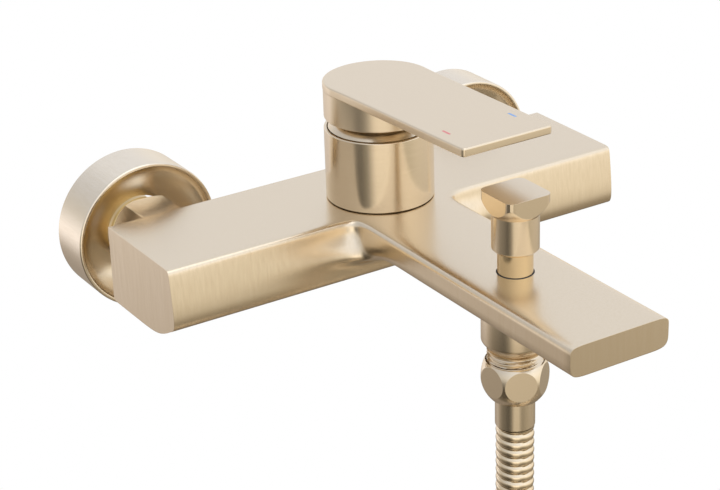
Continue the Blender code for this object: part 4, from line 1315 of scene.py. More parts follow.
# ---- lever ---------------------------------------------------------------------------------------
@dataclass
class Lever:
    """Flat lever with a round end, its two marks and the cap over its screw."""

    y: float = -67.7 * MM
    radius: float = 20.6 * MM
    root_half: float = 20.2 * MM
    tip_y: float = -150.0 * MM
    tip_half: float = 18.9 * MM
    bottom: float = 47.6 * MM
    top: float = 62.0 * MM
    tilt: float = math.radians(1.6)
    thick: float = 3.3 * MM
    root_y: float = -8.6 * MM
    neck_r: float = 20.45 * MM
    cavity_r: float = 18.6 * MM
    ceiling: float = 54.2 * MM
    edge: float = 0.8 * MM
    roof: float = 3.0 * MM
    socket_half: Point = (4.3 * MM, 3.8 * MM)
    screw_r: float = 1.8 * MM
    plug_r: float = 2.1 * MM
    plug_seat: float = 18.4 * MM
    mark_x: float = 14.0 * MM
    mark_y: float = -133.0 * MM
    mark_size: Corner = (0.9 * MM, 4.6 * MM, 0.6 * MM)

    def plan(self) -> list[Point]:
        """Return the lever's outline in plan, about the tower axis.

        Returns:
            The outline's points.
        """
        reach = self.y - self.tip_y
        made = arc((0.0, 0.0), self.radius, 0.0, 180.0, 72)
        made += [(-self.radius + (self.radius - self.root_half) / 2, self.root_y / 2)]
        made += fillet([(-self.root_half, self.root_y, 0.0), (-self.tip_half, -reach, 1.4 * MM),
                        (self.tip_half, -reach, 1.4 * MM), (self.root_half, self.root_y, 0.0)],
                       steps=5)
        made += [(self.radius - (self.radius - self.root_half) / 2, self.root_y / 2)]
        return made

    def lean(self, mesh: Mesh) -> Mesh:
        """Raise a mesh towards the tip by the lever's tilt, and set it on the tower axis.

        Args:
            mesh: The mesh, about the tower axis.

        Returns:
            The same mesh.
        """
        for vertex in mesh.vertices:
            vertex.co.z += -vertex.co.y * math.tan(self.tilt)
        mesh.transform(at(y=self.y))
        return mesh

    def handle(self) -> Mesh:
        """Return the lever: paddle and neck, hollow over the collar.

        Returns:
            The lever's mesh.
        """
        profile = edge_profile(self.top - self.thick, self.top, self.edge, 0.6 * self.edge, 5)
        paddle = self.lean(slab("paddle", self.plan(), profile))
        high = self.top - self.thick / 2
        neck = lathe("neck",
                     fillet([(0.0, high - 0.4 * MM, 0.0), (self.neck_r, high - 0.4 * MM, 0.0),
                                     (self.neck_r, self.bottom, 0.4 * MM),
                             (0.0, self.bottom, 0.0)]), at(y=self.y), 144)
        cavity = pin("cavity", self.cavity_r, self.bottom - MM, self.ceiling, at(y=self.y), 128)
        wide, long = self.socket_half
        socket = box_mesh("socket", (-wide, self.y - long, self.ceiling - MM),
                          (wide, self.y + long, self.top - self.roof))
        rear, start = self.radius + 1.4 * MM, 2.8 * MM
        hole = lathe("hole", [(0.0, rear), (self.plug_r, rear), (self.plug_r, self.plug_seat),
                              (self.screw_r, self.plug_seat), (self.screw_r, start), (0.0, start)],
                     self.screw_axis(), 48)
        width, length, depth = self.mark_size
        pockets = [self.lean(box_mesh("pocket", (x - width / 2, self.mark_y - self.y - length / 2,
                                                 self.top - depth),
                                      (x + width / 2, self.mark_y - self.y + length / 2,
                                       self.top + MM)))
                   for x in (-self.mark_x, self.mark_x)]
        mesh = combined(paddle, "UNION", neck)
        return combined(mesh, "DIFFERENCE", cavity, socket, hole, *pockets, solver="MANIFOLD")

    def screw_axis(self) -> Matrix:
        """Return the placement of the screw, its local +Z towards the rear."""
        middle = (self.ceiling + self.top - self.roof) / 2
        return at(y=self.y, z=middle) @ Matrix.Rotation(-math.pi / 2, 4, "X")

    def mark(self, x: float) -> Mesh:
        """Return one enamel mark, a hair proud of the lever.

        Args:
            x: Place of its middle across the lever.

        Returns:
            The mark's mesh.
        """
        width, length, depth = self.mark_size
        near, far = self.mark_y - self.y - length / 2, self.mark_y - self.y + length / 2
        left, right = x - width / 2, x + width / 2
        outline = fillet([(*corner, 0.2 * MM) for corner in (
            (left, near), (right, near), (right, far), (left, far))], True)
        return self.lean(slab("mark", outline,
                              edge_profile(self.top - depth, self.top + 0.03 * MM, 0.05 * MM, 0.0)))

    def cap(self) -> Mesh:
        """Return the slightly domed cap over the screw.

        Returns:
            The cap's mesh.
        """
        outer, side = self.radius - 0.5 * MM, self.plug_r - 0.2 * MM
        seat = self.plug_seat + 0.3 * MM
        return lathe("cap", fillet([(0.0, outer, 0.0), (side, outer - 0.15 * MM, 0.3 * MM),
                                    (side, seat, 0.1 * MM), (0.0, seat, 0.0)]), self.screw_axis(),
                     48)

    def build(self) -> None:
        """Make the lever and what it carries."""
        metal = BrushedMetal("satin_lever", grain=Grain.ALONG_Y, roughness=0.28, fine=1500.0,
                             streak=0.1)
        present("lever", self.handle(), metal.make(), Body.LEVER, ["lever_handle"],
                angle=40.0)
        red = MoldedFinish("red_enamel", (0.78, 0.20, 0.19), (0.70, 0.15, 0.15), 0.3)
        blue = MoldedFinish("blue_enamel", (0.22, 0.42, 0.74), (0.16, 0.34, 0.66), 0.3)
        present("mark_hot", self.mark(-self.mark_x), red.make(), Body.LEVER, ["hot_mark"])
        present("mark_cold", self.mark(self.mark_x), blue.make(), Body.LEVER, ["cold_mark"])
        plug = BrushedMetal("satin_cap", roughness=0.3).make()
        present("cap", self.cap(), plug, Body.LEVER, ["screw_cap"])


# ---- diverter ------------------------------------------------------------------------------------
@dataclass
class Diverter:
    """Pull-up knob with a square head, and the bonnet under it."""

    y: float = -154.0 * MM
    barrel_r: float = 8.45 * MM
    low: float = 23.8 * MM
    high: float = 45.6 * MM
    half: float = 9.3 * MM
    corner_r: float = 12.6 * MM
    flare: float = 8.0 * MM
    cup_top: float = 37.2 * MM
    bonnet_r: float = 6.35 * MM
    bonnet_low: float = 6.0 * MM
    bonnet_seat: float = 12.0 * MM
    stem_r: float = 3.0 * MM
    spout_top: float = 15.3 * MM
    flare_bend: float = 1.6
    square_round: float = 2.8 * MM
    soft: float = 0.55 * MM
    cup_r: float = 6.85 * MM
    socket_r: float = 3.3 * MM
    socket_roof: float = 3.6 * MM

    def knob(self) -> Mesh:
        """Return the knob: a turned flare cut to a square.

        Returns:
            The knob's mesh.
        """
        outline = [(0.0, self.high), (self.corner_r - 0.6 * MM, self.high),
                   (self.corner_r - 0.1 * MM, self.high - 0.3 * MM),
                   (self.corner_r, self.high - 0.6 * MM)]
        steps = 18
        for i in range(1, steps + 1):
            s = i / steps
            outline.append((self.barrel_r
                            + (self.corner_r - self.barrel_r) * (1.0 - s ** self.flare_bend),
                            self.high - 0.6 * MM - (self.flare - 0.6 * MM) * s))
        outline += fillet([(self.barrel_r, self.high - self.flare - MM, 0.0),
                           (self.barrel_r, self.low + 1.0 * MM, 0.4 * MM),
                           (self.barrel_r - 1.0 * MM, self.low, 0.3 * MM), (0.0, self.low, 0.0)])
        square = slab("square", regular(4, 2 * self.half, self.square_round),
                      [(0.0, self.high + MM), (0.0, self.low - MM)])
        cup = pin("cup", self.cup_r, self.low - MM, self.cup_top, steps=96)
        socket = pin("socket", self.socket_r, self.cup_top - MM, self.high - self.socket_roof)
        mesh = combined(lathe("flare", outline, steps=144), "INTERSECT", square)
        mesh = softened(mesh, self.soft, 16.0, 4)
        mesh = combined(mesh, "DIFFERENCE", cup, socket)
        mesh.transform(at(y=self.y))
        return mesh

    def bonnet(self) -> Mesh:
        """Return the bonnet tube that stands in the spout.

        Returns:
            The bonnet's mesh.
        """
        top = self.cup_top - MM
        return lathe("bonnet", fillet([
            (self.stem_r + 0.4 * MM, top, 0.0), (self.bonnet_r, top, 0.5 * MM),
            (self.bonnet_r, self.bonnet_low, 0.2 * MM),
            (self.bonnet_r - 1.1 * MM, self.bonnet_low, 0.2 * MM),
            (self.bonnet_r - 1.1 * MM, self.bonnet_seat, 0.2 * MM),
            (self.stem_r + 0.4 * MM, self.bonnet_seat, 0.0)],
            True), at(y=self.y))

    def ring(self) -> Mesh:
        """Return a thin black ring round the bonnet's foot: painted shade for the dark gap where
        the bonnet enters the spout.

        Returns:
            The ring's mesh.
        """
        return lathe("ring", fillet([
            (self.bonnet_r + 0.02 * MM, self.spout_top + 0.12 * MM, 0.0),
            (self.bonnet_r + 0.34 * MM, self.spout_top + 0.12 * MM, 0.08 * MM),
            (self.bonnet_r + 0.42 * MM, self.spout_top - 0.6 * MM, 0.0),
            (self.bonnet_r + 0.02 * MM, self.spout_top - 0.6 * MM, 0.0)], True), at(y=self.y))

    def build(self) -> None:
        """Make knob, bonnet and the black ring of painted shade in the gap at the bonnet's foot."""
        centre = (0.0, self.y, 0.0)
        head = BrushedMetal("satin_knob", grain=Grain.TURNED, centre=centre, roughness=0.2)
        present("knob", self.knob(), head.make(), Body.DIVERTER, ["diverter_knob"],
                angle=28.0)
        tube = BrushedMetal("bright_bonnet", light=(0.80, 0.64, 0.40), dark=(0.74, 0.57, 0.34),
                            grain=Grain.TURNED, centre=centre, roughness=0.16)
        present("bonnet", self.bonnet(), tube.make(), Body.FIXED, ["diverter_bonnet"])
        # A black ring that is not in the frame: painted shade for the gap round the bonnet where it
        # enters the spout.
        rubber = MoldedFinish("gap_shade_black", (0.04, 0.038, 0.036), (0.025, 0.024, 0.023),
                              0.6).make()
        present("bonnet_gap_shade", self.ring(), rubber, Body.FIXED, [])


# ---- hose outlet ---------------------------------------------------------------------------------
@dataclass
class Outlet:
    """Threaded tail under the spout with the hose's nut and ferrule."""

    y: float = -154.0 * MM
    chamber_r: float = 7.9 * MM
    way_r: float = 5.5 * MM
    tail_r: float = 12.2 * MM
    tail_top: float = 3.5 * MM
    tail_bottom: float = -11.6 * MM
    thread_r: float = 10.2 * MM
    thread_end: float = -25.5 * MM
    pitch: float = 1.814 * MM
    seat: float = -6.0 * MM
    nut_flats: float = 22.0 * MM
    nut_r: float = 12.45 * MM
    nut_z: float = -25.0 * MM
    nut_top: float = -18.4 * MM
    nut_end: float = -33.6 * MM
    nut_turn: float = math.radians(-24.8)
    ferrule_r: float = 7.25 * MM
    ferrule_end: float = -45.0 * MM

    def tail(self, rule: ThreadRule, material: Material) -> Mesh:
        """Return the tail with its thread.

        Args:
            rule: The thread rule.
            material: The tail's finish.

        Returns:
            The tail's mesh.
        """
        step = self.tail_bottom - 1.9 * MM
        outline = [(self.chamber_r, self.tail_top)]
        outline += fillet([(self.chamber_r + MM, self.tail_top, 0.0),
                           (self.tail_r, self.tail_top, 0.2 * MM),
                           (self.tail_r, self.tail_bottom + 0.8 * MM, 1.6 * MM),
                           (self.thread_r - 0.2 * MM, step, 0.4 * MM),
                           (self.thread_r - 0.9 * MM, step - 0.2 * MM, 0.0)], steps=6)
        outline += [(self.thread_r - 0.9 * MM, step - 0.5 * MM)]
        outline += [(self.thread_r, z)
                    for z in dense(step - 0.8 * MM, self.thread_end + 0.6 * MM, self.pitch / 12)]
        outline += [(self.thread_r - 0.6 * MM, self.thread_end), (self.way_r, self.thread_end),
                    (self.way_r, self.seat), (self.chamber_r, self.seat)]
        mesh = rule.run(held(lathe("tail", outline, steps=96)), material,
                        Low=self.thread_end + 0.2 * MM,
                        High=step - 0.5 * MM, Pitch=self.pitch, Depth=1.0 * MM,
                        Core=self.chamber_r + MM)
        mesh.transform(at(y=self.y))
        return mesh

    def nut(self) -> Mesh:
        """Return the ball-shaped hexagon nut.

        Returns:
            The nut's mesh.
        """
        high = math.asin((self.nut_top - self.nut_z) / self.nut_r)
        low = math.asin((self.nut_end - self.nut_z) / self.nut_r)
        steps = 28
        ball = [(self.nut_r * math.cos(a), self.nut_z + self.nut_r * math.sin(a))
                for a in (high + (low - high) * i / steps for i in range(steps + 1))]
        body = lathe("ball", [(0.0, ball[0][1])] + ball + [(0.0, ball[-1][1])], steps=120)
        hexagon = slab("hexagon", regular(6, self.nut_flats, 0.2 * MM, self.nut_turn),
                       [(0.0, self.nut_top + MM), (0.0, self.nut_end - MM)])
        lip = self.nut_end + 2.4 * MM
        bore, ferrule = self.thread_r + 0.3 * MM, self.ferrule_r + 0.3 * MM
        hole = lathe("hole", [(0.0, self.nut_top + MM), (bore + 0.5 * MM, self.nut_top + MM),
                              (bore + 0.5 * MM, self.nut_top - 0.1 * MM),
                              (bore, self.nut_top - 0.6 * MM), (bore, lip),
                              (ferrule, lip), (ferrule, self.nut_end - MM),
                              (0.0, self.nut_end - MM)], steps=96)
        mesh = softened(combined(body, "INTERSECT", hexagon), 0.3 * MM, 14.0, 3)
        mesh = combined(mesh, "DIFFERENCE", hole)
        mesh.transform(at(y=self.y))
        return mesh

    def ferrule(self) -> Mesh:
        """Return the ferrule that holds the hose.

        Returns:
            The ferrule's mesh.
        """
        flange_low = self.nut_end + 2.7 * MM
        flange_high = flange_low + 2.0 * MM
        flange = self.thread_r - 0.3 * MM
        return lathe("ferrule", fillet([
            (HOSE_BORE, flange_high, 0.0), (flange, flange_high, 0.2 * MM),
            (flange, flange_low, 0.2 * MM),
            (self.ferrule_r, flange_low, 0.0), (self.ferrule_r, self.ferrule_end, 0.45 * MM),
            (HOSE_BORE, self.ferrule_end, 0.0)], True), at(y=self.y))

    def build(self, rule: ThreadRule) -> None:
        """Make tail, nut and ferrule.

        Args:
            rule: The thread rule.
        """
        centre = (0.0, self.y, 0.0)
        turned = BrushedMetal("satin_tail", grain=Grain.TURNED, centre=centre,
                              roughness=0.26).make()
        present("tail", self.tail(rule, turned), turned, Body.FIXED, ["outlet_tail"],
                angle=45.0, even=False)
        metal = BrushedMetal("satin_hose_nut", light=(0.86, 0.75, 0.58), fine=1400.0,
                             roughness=0.24, streak=0.1).make()
        present("ball_nut", self.nut(), metal, Body.FIXED, ["hose_nut"], angle=28.0)
        grain = BrushedMetal("satin_ferrule", light=(0.86, 0.75, 0.58), grain=Grain.ALONG_Z,
                             roughness=0.22, streak=0.4).make()
        present("ferrule", self.ferrule(), grain, Body.FIXED, ["hose_ferrule"])


# ---- hose ----------------------------------------------------------------------------------------
@dataclass
class Hose:
    """Wound metal hose: a hanging strand, a tied coil and the end with its conical nut."""

    y: float = -154.0 * MM
    start_z: float = -45.3 * MM
    diameter: float = 14.0 * MM
    pitch: float = 3.3 * MM
    groove: float = 0.75 * MM
    length: float = 1.5
    coil_r: float = 70.0 * MM
    coil_z: float = -207.05 * MM
    turns: float = 2.9
    coil_start: float = math.radians(45.0)
    ferrule_len: float = 16.0 * MM
    nut_len: float = 30.0 * MM
    nut_r: float = 11.68 * MM
    ferrule_r: float = 7.25 * MM
    flange_r: float = 9.0 * MM
    socket_r: float = 9.9 * MM
    seal_r: Point = (5.0 * MM, 9.3 * MM)
    hang: tuple[Point, ...] = ((0.0, -64.0 * MM), (0.3 * MM, -82.0 * MM), (4.6 * MM, -104.0 * MM),
                               (16.0 * MM, -123.5 * MM), (31.5 * MM, -140.5 * MM))
    leave: tuple[Corner, ...] = ((32.0 * MM, -MM, -141.5 * MM), (53.0 * MM, -3.0 * MM, -148.5 * MM),
                                 (72.0 * MM, -5.0 * MM, -159.0 * MM),
                                 (89.0 * MM, -7.0 * MM, -172.5 * MM))

    def on_coil(self, angle: float) -> Vector:
        """Return a point of the coil after an angle of winding.

        Args:
            angle: The angle, in radians from the coil's start.

        Returns:
            The point.
        """
        t = self.coil_start - angle
        return Vector((self.coil_r * math.cos(t), self.y - self.diameter * angle / (2 * math.pi),
                       self.coil_z + self.coil_r * math.sin(t)))

    def last_points(self) -> list[Vector]:
        """Return the points that the hose passes after its coil."""
        side = self.on_coil(2 * math.pi * self.turns).y
        return [Vector((x, side + y, z)) for x, y, z in self.leave]

    def route(self) -> list[Vector]:
        """Return the hose's centreline, closely spaced.

        Returns:
            The points, from the ferrule to the far end.
        """
        last, steps = 2 * math.pi * self.turns, 58
        strand = [Vector((0.0, self.y, self.start_z))] + [Vector((x, self.y, z)) for x,
                                                          z in self.hang]
        winding = [self.on_coil(last * i / steps) for i in range(steps + 1)]
        return smooth_path(strand + winding + self.last_points(), 2.0 * MM)

    def tube(self, path: Sequence[Vector], rule: HoseRule, material: Material) -> Mesh:
        """Return the wound tube along the route.

        Args:
            path: The route.
            rule: The hose rule.
            material: The hose's finish.

        Returns:
            The hose's mesh.
        """
        curve = bpy.data.curves.new("route", "CURVE")
        curve.dimensions = "3D"
        spline = curve.splines.new("POLY")
        spline.points.add(len(path) - 1)
        for point, co in zip(spline.points, path):
            point.co = (*co, 1.0)
        ob = bpy.data.objects.new("route", curve)
        bpy.context.scene.collection.objects.link(ob)
        return rule.run(ob, material, Radius=self.diameter / 2, Pitch=self.pitch, Depth=self.groove)

    def strap(self) -> Mesh:
        """Return the soft strap round the top of the coil.

        Returns:
            The strap's mesh.
        """
        turns = [self.on_coil(self.coil_start - math.pi / 2 + 2 * math.pi * n) for n in (1, 2, 3)]
        half = self.diameter / 2 + 0.35 * MM
        near, far = turns[0].y + half, turns[-1].y - half
        low, high = turns[0].z - half, turns[0].z + half
        band = 1.5 * MM
        loops = []
        for grow in (0.0, band):
            radius = half * 0.9 + grow
            loops.append(fillet([(far - grow, low - grow, radius),
                                 (near + grow, low - grow, radius),
                                 (near + grow, high + grow, radius),
                                 (far - grow, high + grow, radius)], True, 10))
        wide, edge = 6.0 * MM, 0.4 * MM
        rings = [(0, -wide + edge, 0.0), (0, -wide, edge), (1, -wide, -edge),
                 (1, -wide + edge, 0.0),
                 (1, wide - edge, 0.0), (1, wide, -edge), (0, wide, edge), (0, wide - edge, 0.0)]
        middle = Vector(((near + far) / 2, (low + high) / 2))
        points = []
        for which, x, grow in rings:
            for p in loops[which]:
                flat = Vector(p)
                flat += (flat - middle).normalized() * grow
                points.append((x, flat.x, flat.y))
        count = len(loops[0])
        faces = []
        for ring in range(len(rings)):
            a, b = ring * count, ((ring + 1) % len(rings)) * count
            for k in range(count):
                n = (k + 1) % count
                faces.append([a + k, a + n, b + n, b + k])
        return new_mesh("strap", points, faces)

    def end_place(self) -> Matrix:
        """Return the placement of the end fitting, its local +Z along the hose.

        Returns:
            The placement.
        """
        before, end = self.last_points()[-2:]
        direction = (end - before).normalized()
        start = end + direction * 0.3 * MM
        return Matrix.Translation(start) @ direction.to_track_quat("Z", "Y").to_matrix().to_4x4()

    def build(self, rule: HoseRule) -> None:
        """Make the hose and the pieces on it.

        Args:
            rule: The hose rule.
        """
        path = self.route()
        band = BrushedMetal("wound_band", light=(0.86, 0.74, 0.55), dark=(0.76, 0.62, 0.43),
                            roughness=0.2,
                            fine=900.0).make()
        tube = present("hose", self.tube(path, rule, band), band, Body.FIXED,
                       ["hose_tube", "hose_coil", "hose_tail"], angle=60.0, even=False)
        place = self.end_place()
        metal = BrushedMetal("satin_hose_end", roughness=0.27).make()
        flange = self.flange_r
        ferrule = present("end_sleeve", lathe("end_sleeve", fillet([
            (HOSE_BORE, self.ferrule_len, 0.0), (flange, self.ferrule_len, 0.2 * MM),
            (flange, self.ferrule_len - 2.0 * MM, 0.2 * MM),
            (self.ferrule_r, self.ferrule_len - 2.0 * MM, 0.0),
            (self.ferrule_r, 0.0, 0.45 * MM), (HOSE_BORE, 0.0, 0.0)], True), place), metal,
                          Body.FIXED,
            ["end_ferrule"])
        low = self.ferrule_len - 4.4 * MM
        high = low + self.nut_len
        lip = self.ferrule_len - 2.3 * MM
        cone = present("conical_nut", lathe("conical_nut", fillet([
            (self.socket_r, high, 0.25 * MM), (self.nut_r, high, 0.5 * MM),
            (self.nut_r, high - 8.0 * MM, 1.0 * MM),
            (self.ferrule_r + 1.6 * MM, low, 0.4 * MM), (self.ferrule_r + 0.3 * MM, low, 0.1 * MM),
            (self.ferrule_r + 0.3 * MM, lip, 0.0), (self.socket_r, lip, 0.0)], True), place), metal,
                       Body.CONE,
            ["cone_nut"])
        rubber = MoldedFinish("seal_rubber", (0.035, 0.035, 0.036), (0.02, 0.02, 0.021), 0.6).make()
        bore, rim = self.seal_r
        under, over = self.ferrule_len + 0.3 * MM, self.ferrule_len + 2.3 * MM
        section = fillet([(*corner, 0.2 * MM) for corner in (
            (bore, under), (rim, under), (rim, over), (bore, over))], True)
        washer = present("seal", lathe("seal", section, place, 48), rubber, Body.FIXED,
                         ["end_washer"])
        strap_finish = MoldedFinish("strap_rubber", (0.075, 0.07, 0.065), (0.05, 0.048, 0.045),
                                    0.55).make()
        strap = present("strap", self.strap(), strap_finish, Body.FIXED, ["hose_tie"])


def smooth_path(points: Sequence[Vector], step: float) -> list[Vector]:
    """Return points along a smooth curve through the given ones, about a step apart.

    Args:
        points: Points to pass through.
        step: Distance between the results, about.

    Returns:
        The closely spaced points.
    """
    path = []
    count = len(points)
    for i in range(count - 1):
        p0, p1 = points[max(i - 1, 0)], points[i]
        p2, p3 = points[i + 1], points[min(i + 2, count - 1)]
        parts = max(1, round((p2 - p1).length / step))
        for k in range(parts):
            t = k / parts
            path.append(0.5 * (2 * p1 + (p2 - p0) * t + (2 * p0 - 5 * p1 + 4 * p2 - p3) * t ** 2
                               + (3 * p1 - p0 - 3 * p2 + p3) * t ** 3))
    path.append(points[-1].copy())
    return path


# ---- aerator -------------------------------------------------------------------------------------
@dataclass
class Aerator:
    """Slim aerator under the spout tip."""

    y: float = -197.0 * MM
    radius: float = 11.0 * MM
    low: float = 4.2 * MM
    high: float = 8.5 * MM
    wall: float = 1.6 * MM
    ledge: float = 1.0 * MM

    def build(self, rule: SieveRule) -> None:
        """Make the housing and its sieve.

        Args:
            rule: The sieve rule.
        """
        top = self.high - 1.3 * MM
        inner = self.radius - self.wall
        housing = lathe("housing", fillet([
            (inner, top, 0.1 * MM), (self.radius, top, 0.2 * MM), (self.radius, self.low, 0.4 * MM),
            (inner - self.ledge, self.low, 0.2 * MM),
            (inner - self.ledge, self.low + 0.7 * MM, 0.1 * MM),
            (inner, self.low + 0.7 * MM, 0.0)], True), at(y=self.y))
        metal = BrushedMetal("satin_aerator", grain=Grain.TURNED, centre=(0.0, self.y, 0.0)).make()
        present("aerator_ring", housing, metal, Body.FIXED, ["aerator_housing"])
        plastic = MoldedFinish("sieve_plastic", (0.80, 0.80, 0.79), (0.72, 0.72, 0.71), 0.4).make()
        rim_out = inner - 0.3 * MM
        rim = lathe("sieve", [(rim_out - 1.2 * MM, top), (rim_out, top), (rim_out, self.low + MM),
                              (rim_out - 1.2 * MM, self.low + MM)])
        sieve = rule.run(held(rim), plastic, Radius=rim_out - 0.6 * MM, Level=self.low + 1.9 * MM,
                         Bar=0.35 * MM, Height=1.6 * MM)
        sieve.transform(at(y=self.y))
        present("sieve", sieve, plastic, Body.FIXED, ["aerator_insert"])


# ---- hidden pieces -------------------------------------------------------------------------------
@dataclass
class InnerParts:
    """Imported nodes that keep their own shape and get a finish."""

    brass: tuple[str, ...] = ("retaining_nut", "valve_nut")
    steel: tuple[str, ...] = ("pivot_pin", "lever_screw", "lever_spindle", "diverter_stem",
                              "diverter_spring")
    ceramic: tuple[str, ...] = ("fixed_disc", "moving_disc")
    plastic: tuple[str, ...] = ("cartridge_base", "cartridge_housing", "cartridge_carrier",
                                "check_valve")
    rubber: tuple[str, ...] = ("port_seal_hot", "port_seal_cold", "union_washer_left",
                               "union_washer_right",
                               "diverter_valve", "hose_washer", "aerator_seal")

    def build(self) -> None:
        """Dress every node that no finished piece stands for."""
        looks = {
            self.brass: BrushedMetal("inner_brass", light=(0.78, 0.60, 0.30),
                                     dark=(0.66, 0.48, 0.21), roughness=0.35),
            self.steel: BrushedMetal("inner_steel", light=(0.68, 0.68, 0.69),
                                     dark=(0.58, 0.58, 0.60), roughness=0.3),
            self.ceramic: MoldedFinish("inner_ceramic", (0.88, 0.87, 0.84), (0.84, 0.83, 0.80),
                                       0.2),
            self.plastic: MoldedFinish("inner_plastic", (0.80, 0.80, 0.79), (0.74, 0.74, 0.73),
                                       0.45),
            self.rubber: MoldedFinish("inner_rubber", (0.035, 0.035, 0.036), (0.02, 0.02, 0.021),
                                      0.6),
        }
        for names, finish in looks.items():
            material = finish.make()
            for name in names:
                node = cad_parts[name]
                if not node.material_slots:
                    node.data.materials.append(material)
                for held_slot in node.material_slots:
                    held_slot.material = material
                LOG.info("%s: dressed", name)


# ---- studio --------------------------------------------------------------------------------------
@dataclass(frozen=True)
class Softbox:
    """A flat soft light that faces the mixer."""

    name: str
    azimuth: float
    elevation: float
    width: float
    height: float
    radiance: float
    color: Color = (1.0, 1.0, 1.0)
    distance: float = 1.2


def outward(azimuth: float, elevation: float) -> Vector:
    """Return the direction from the mixer to an azimuth and an elevation in degrees."""
    a, e = math.radians(azimuth), math.radians(elevation)
    return Vector((math.sin(a) * math.cos(e), -math.cos(a) * math.cos(e), math.sin(e)))


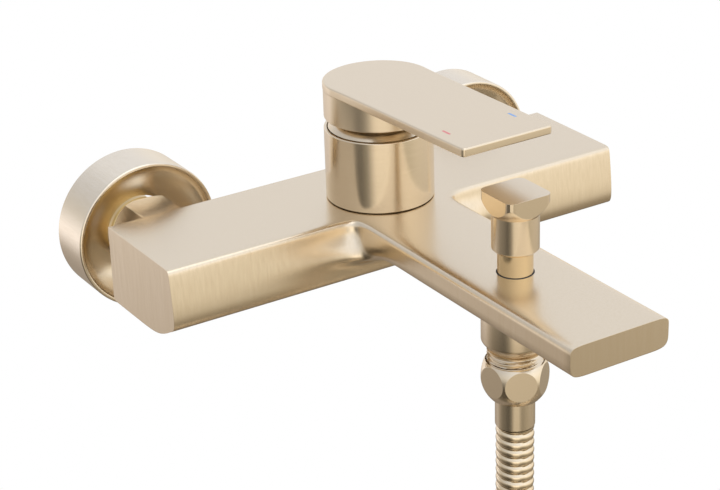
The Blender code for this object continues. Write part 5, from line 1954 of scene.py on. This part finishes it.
@dataclass
class Studio:
    """Camera, floor and light."""

    target: Corner = (-5.13 * MM, -60.0 * MM, -7.98 * MM)
    azimuth: float = -31.714
    elevation: float = 24.488
    roll: float = -1.834
    distance: float = 804.23 * MM
    lens: float = 103.975
    floor_z: float = -0.32
    floor_half: float = 6.0
    sensor: float = 36.0
    clip: Point = (0.05, 50.0)
    eye_level: Point = (0.54, 0.42)
    elevations: Stops = (
        (-90.0, (0.24, 0.20, 0.15)), (-40.0, (0.31, 0.265, 0.205)), (-28.0, (0.40, 0.35, 0.28)),
        (-22.0, (0.68, 0.62, 0.54)), (-15.0, (1.0, 0.93, 0.83)), (0.0, (1.0, 0.97, 0.93)),
        (22.0, (0.91, 0.95, 1.06)), (90.0, (0.94, 1.0, 1.12)))
    low_azimuths: Stops = (
        (-180.0, (1.0, 1.0, 1.08)), (-152.0, (1.35, 1.4, 1.62)), (-138.0, (0.95, 0.95, 1.0)),
        (-115.0, (0.5, 0.5, 0.5)), (-89.0, (0.36, 0.36, 0.36)), (-73.0, (0.2, 0.2, 0.2)),
        (-57.0, (0.45, 0.45, 0.43)), (-41.0, (1.5, 1.5, 1.48)), (-14.0, (1.5, 1.5, 1.48)),
        (-2.0, (0.8, 0.8, 0.76)),
        (10.0, (0.75, 0.74, 0.7)), (30.0, (0.95, 0.95, 0.9)), (50.0, (1.1, 1.1, 1.08)),
        (85.0, (1.1, 1.1, 1.1)), (110.0, (0.85, 0.85, 0.85)),
        (145.0, (0.8, 0.8, 0.8)), (180.0, (1.1, 1.1, 1.2)))
    high_azimuths: Stops = (
        (-180.0, (0.95, 0.95, 0.95)), (-150.0, (0.70, 0.69, 0.68)), (-115.0, (0.68, 0.67, 0.66)),
        (-85.0, (0.74, 0.74, 0.74)), (-50.0, (0.95, 0.95, 0.95)), (-20.0, (1.15, 1.15, 1.15)),
        (30.0, (1.3, 1.3, 1.28)), (75.0, (1.1, 1.1, 1.1)), (110.0, (1.0, 1.0, 1.0)),
        (180.0, (0.95, 0.95, 0.95)))

    def camera(self) -> None:
        """Make the camera."""
        a, r = math.radians(self.azimuth), math.radians(self.roll)
        back = outward(self.azimuth, self.elevation)
        right = Vector((math.cos(a), math.sin(a), 0.0))
        up = back.cross(right)
        x = right * math.cos(r) + up * math.sin(r)
        y = up * math.cos(r) - right * math.sin(r)
        data = bpy.data.cameras.new("camera")
        data.lens = self.lens
        data.sensor_width = self.sensor
        data.clip_start, data.clip_end = self.clip
        ob = bpy.data.objects.new("camera", data)
        turn = Matrix((x, y, back)).transposed().to_4x4()
        ob.matrix_world = Matrix.Translation(Vector(self.target) + back * self.distance) @ turn
        bpy.context.scene.collection.objects.link(ob)
        bpy.context.scene.camera = ob

    def floor(self) -> None:
        """Make the plain floor."""
        half, level = self.floor_half, self.floor_z
        mesh = bpy.data.meshes.new("floor")
        mesh.from_pydata([(-half, -half, level), (half, -half, level), (half, half, level),
                          (-half, half, level)], [], [(0, 1, 2, 3)])
        material = bpy.data.materials.new("floor_white")
        material.use_nodes = True
        tree = material.node_tree
        tree.nodes.clear()
        glow = tree.nodes.new("ShaderNodeEmission")
        clear = tree.nodes.new("ShaderNodeBsdfTransparent")
        mix = tree.nodes.new("ShaderNodeMixShader")
        side = tree.nodes.new("ShaderNodeNewGeometry")
        out = tree.nodes.new("ShaderNodeOutputMaterial")
        tree.links.new(side.outputs["Backfacing"], mix.inputs[0])
        tree.links.new(glow.outputs[0], mix.inputs[1])
        tree.links.new(clear.outputs[0], mix.inputs[2])
        tree.links.new(mix.outputs[0], out.inputs[0])
        mesh.materials.append(material)
        ob = bpy.data.objects.new("floor", mesh)
        ob.visible_glossy = ob.visible_diffuse = ob.visible_shadow = False
        bpy.context.scene.collection.objects.link(ob)

    def sky(self) -> None:
        """Make the surround of a light tent: bright above and in front, dim and warm below.

        One ramp runs over elevation. Two more, over azimuth, scale the light that comes from below
        and from above eye level: the tent has a bright front and a dark left side.
        """
        world = bpy.data.worlds.new("studio")
        world.use_nodes = True
        world.node_tree.nodes.clear()
        sketch = NodeSketch(world.node_tree)
        direction = world.node_tree.nodes.new("ShaderNodeTexCoord").outputs["Generated"]
        x, y, z = sketch.split(direction)
        rise = sketch.math("MULTIPLY_ADD", sketch.math("ARCSINE", z), 1.0 / math.pi, 0.5)
        turn = sketch.math("ARCTAN2", x, sketch.math("MULTIPLY", y, -1.0))
        round_ = sketch.math("MULTIPLY_ADD", turn, 0.5 / math.pi, 0.5)
        by_rise = sketch.ramp(rise, tuple(((e + 90.0) / 180.0, c) for e, c in self.elevations))
        near, far = (sketch.ramp(round_, tuple(((a + 180.0) / 360.0, c) for a, c in stops))
                     for stops in (self.low_azimuths, self.high_azimuths))
        low = world.node_tree.nodes.new("ShaderNodeMapRange")
        low.interpolation_type = "SMOOTHSTEP"
        sketch.feed(low.inputs, (rise, *self.eye_level, 0.0, 1.0))
        scaled = sketch.blend(1.0, by_rise, sketch.blend(low.outputs["Result"], far, near),
                              "MULTIPLY")
        seen = world.node_tree.nodes.new("ShaderNodeLightPath").outputs["Is Camera Ray"]
        light = world.node_tree.nodes.new("ShaderNodeBackground")
        out = world.node_tree.nodes.new("ShaderNodeOutputWorld")
        sketch.feed([light.inputs["Color"], out.inputs["Surface"]],
                    (sketch.blend(seen, scaled, (1.0, 1.0, 1.0)), light.outputs[0]))
        bpy.context.scene.world = world

    def lights(self, boxes: Sequence[Softbox]) -> None:
        """Place the soft lights round the mixer.

        Args:
            boxes: The lights.
        """
        centre = Vector(self.target)
        for box in boxes:
            away = outward(box.azimuth, box.elevation)
            data = bpy.data.lights.new(box.name, "AREA")
            data.shape = "RECTANGLE"
            data.size, data.size_y = box.width, box.height
            data.energy = box.radiance * math.pi * box.width * box.height
            data.color = box.color
            ob = bpy.data.objects.new(box.name, data)
            ob.matrix_world = (Matrix.Translation(centre + away * box.distance)
                               @ away.to_track_quat("Z", "Y").to_matrix().to_4x4())
            ob.visible_camera = False
            bpy.context.scene.collection.objects.link(ob)

    def build(self) -> None:
        """Make the camera, the floor, the surround and the lights."""
        self.camera()
        self.floor()
        self.sky()
        self.lights([Softbox("top", 0.0, 70.0, 1.2, 1.2, 0.4)])
        bpy.context.scene.view_settings.view_transform = "Standard"


def main() -> None:
    """Build the studio and every sub-assembly."""
    logging.basicConfig(level=logging.INFO, format="%(message)s")
    Studio().build()
    thread = ThreadRule("thread",
                        {"Low": 0.0, "High": 0.01, "Pitch": 0.0018, "Depth": 0.001, "Core": 0.01})
    wound = HoseRule("wound_hose", {"Radius": 0.007, "Pitch": 0.0033, "Depth": 0.0007})
    crossed = SieveRule("sieve", {"Radius": 0.009, "Level": 0.0, "Bar": 0.0004, "Height": 0.002})
    Hose().build(wound)
    Casting().build()
    for side, x in (("left", -UNION_X), ("right", UNION_X)):
        WallUnion(side, x).build(thread)
    Tower().build()
    Lever().build()
    Diverter().build()
    Outlet().build(thread)
    Aerator().build(crossed)
    InnerParts().build()


if __name__ == "__main__":
    main()
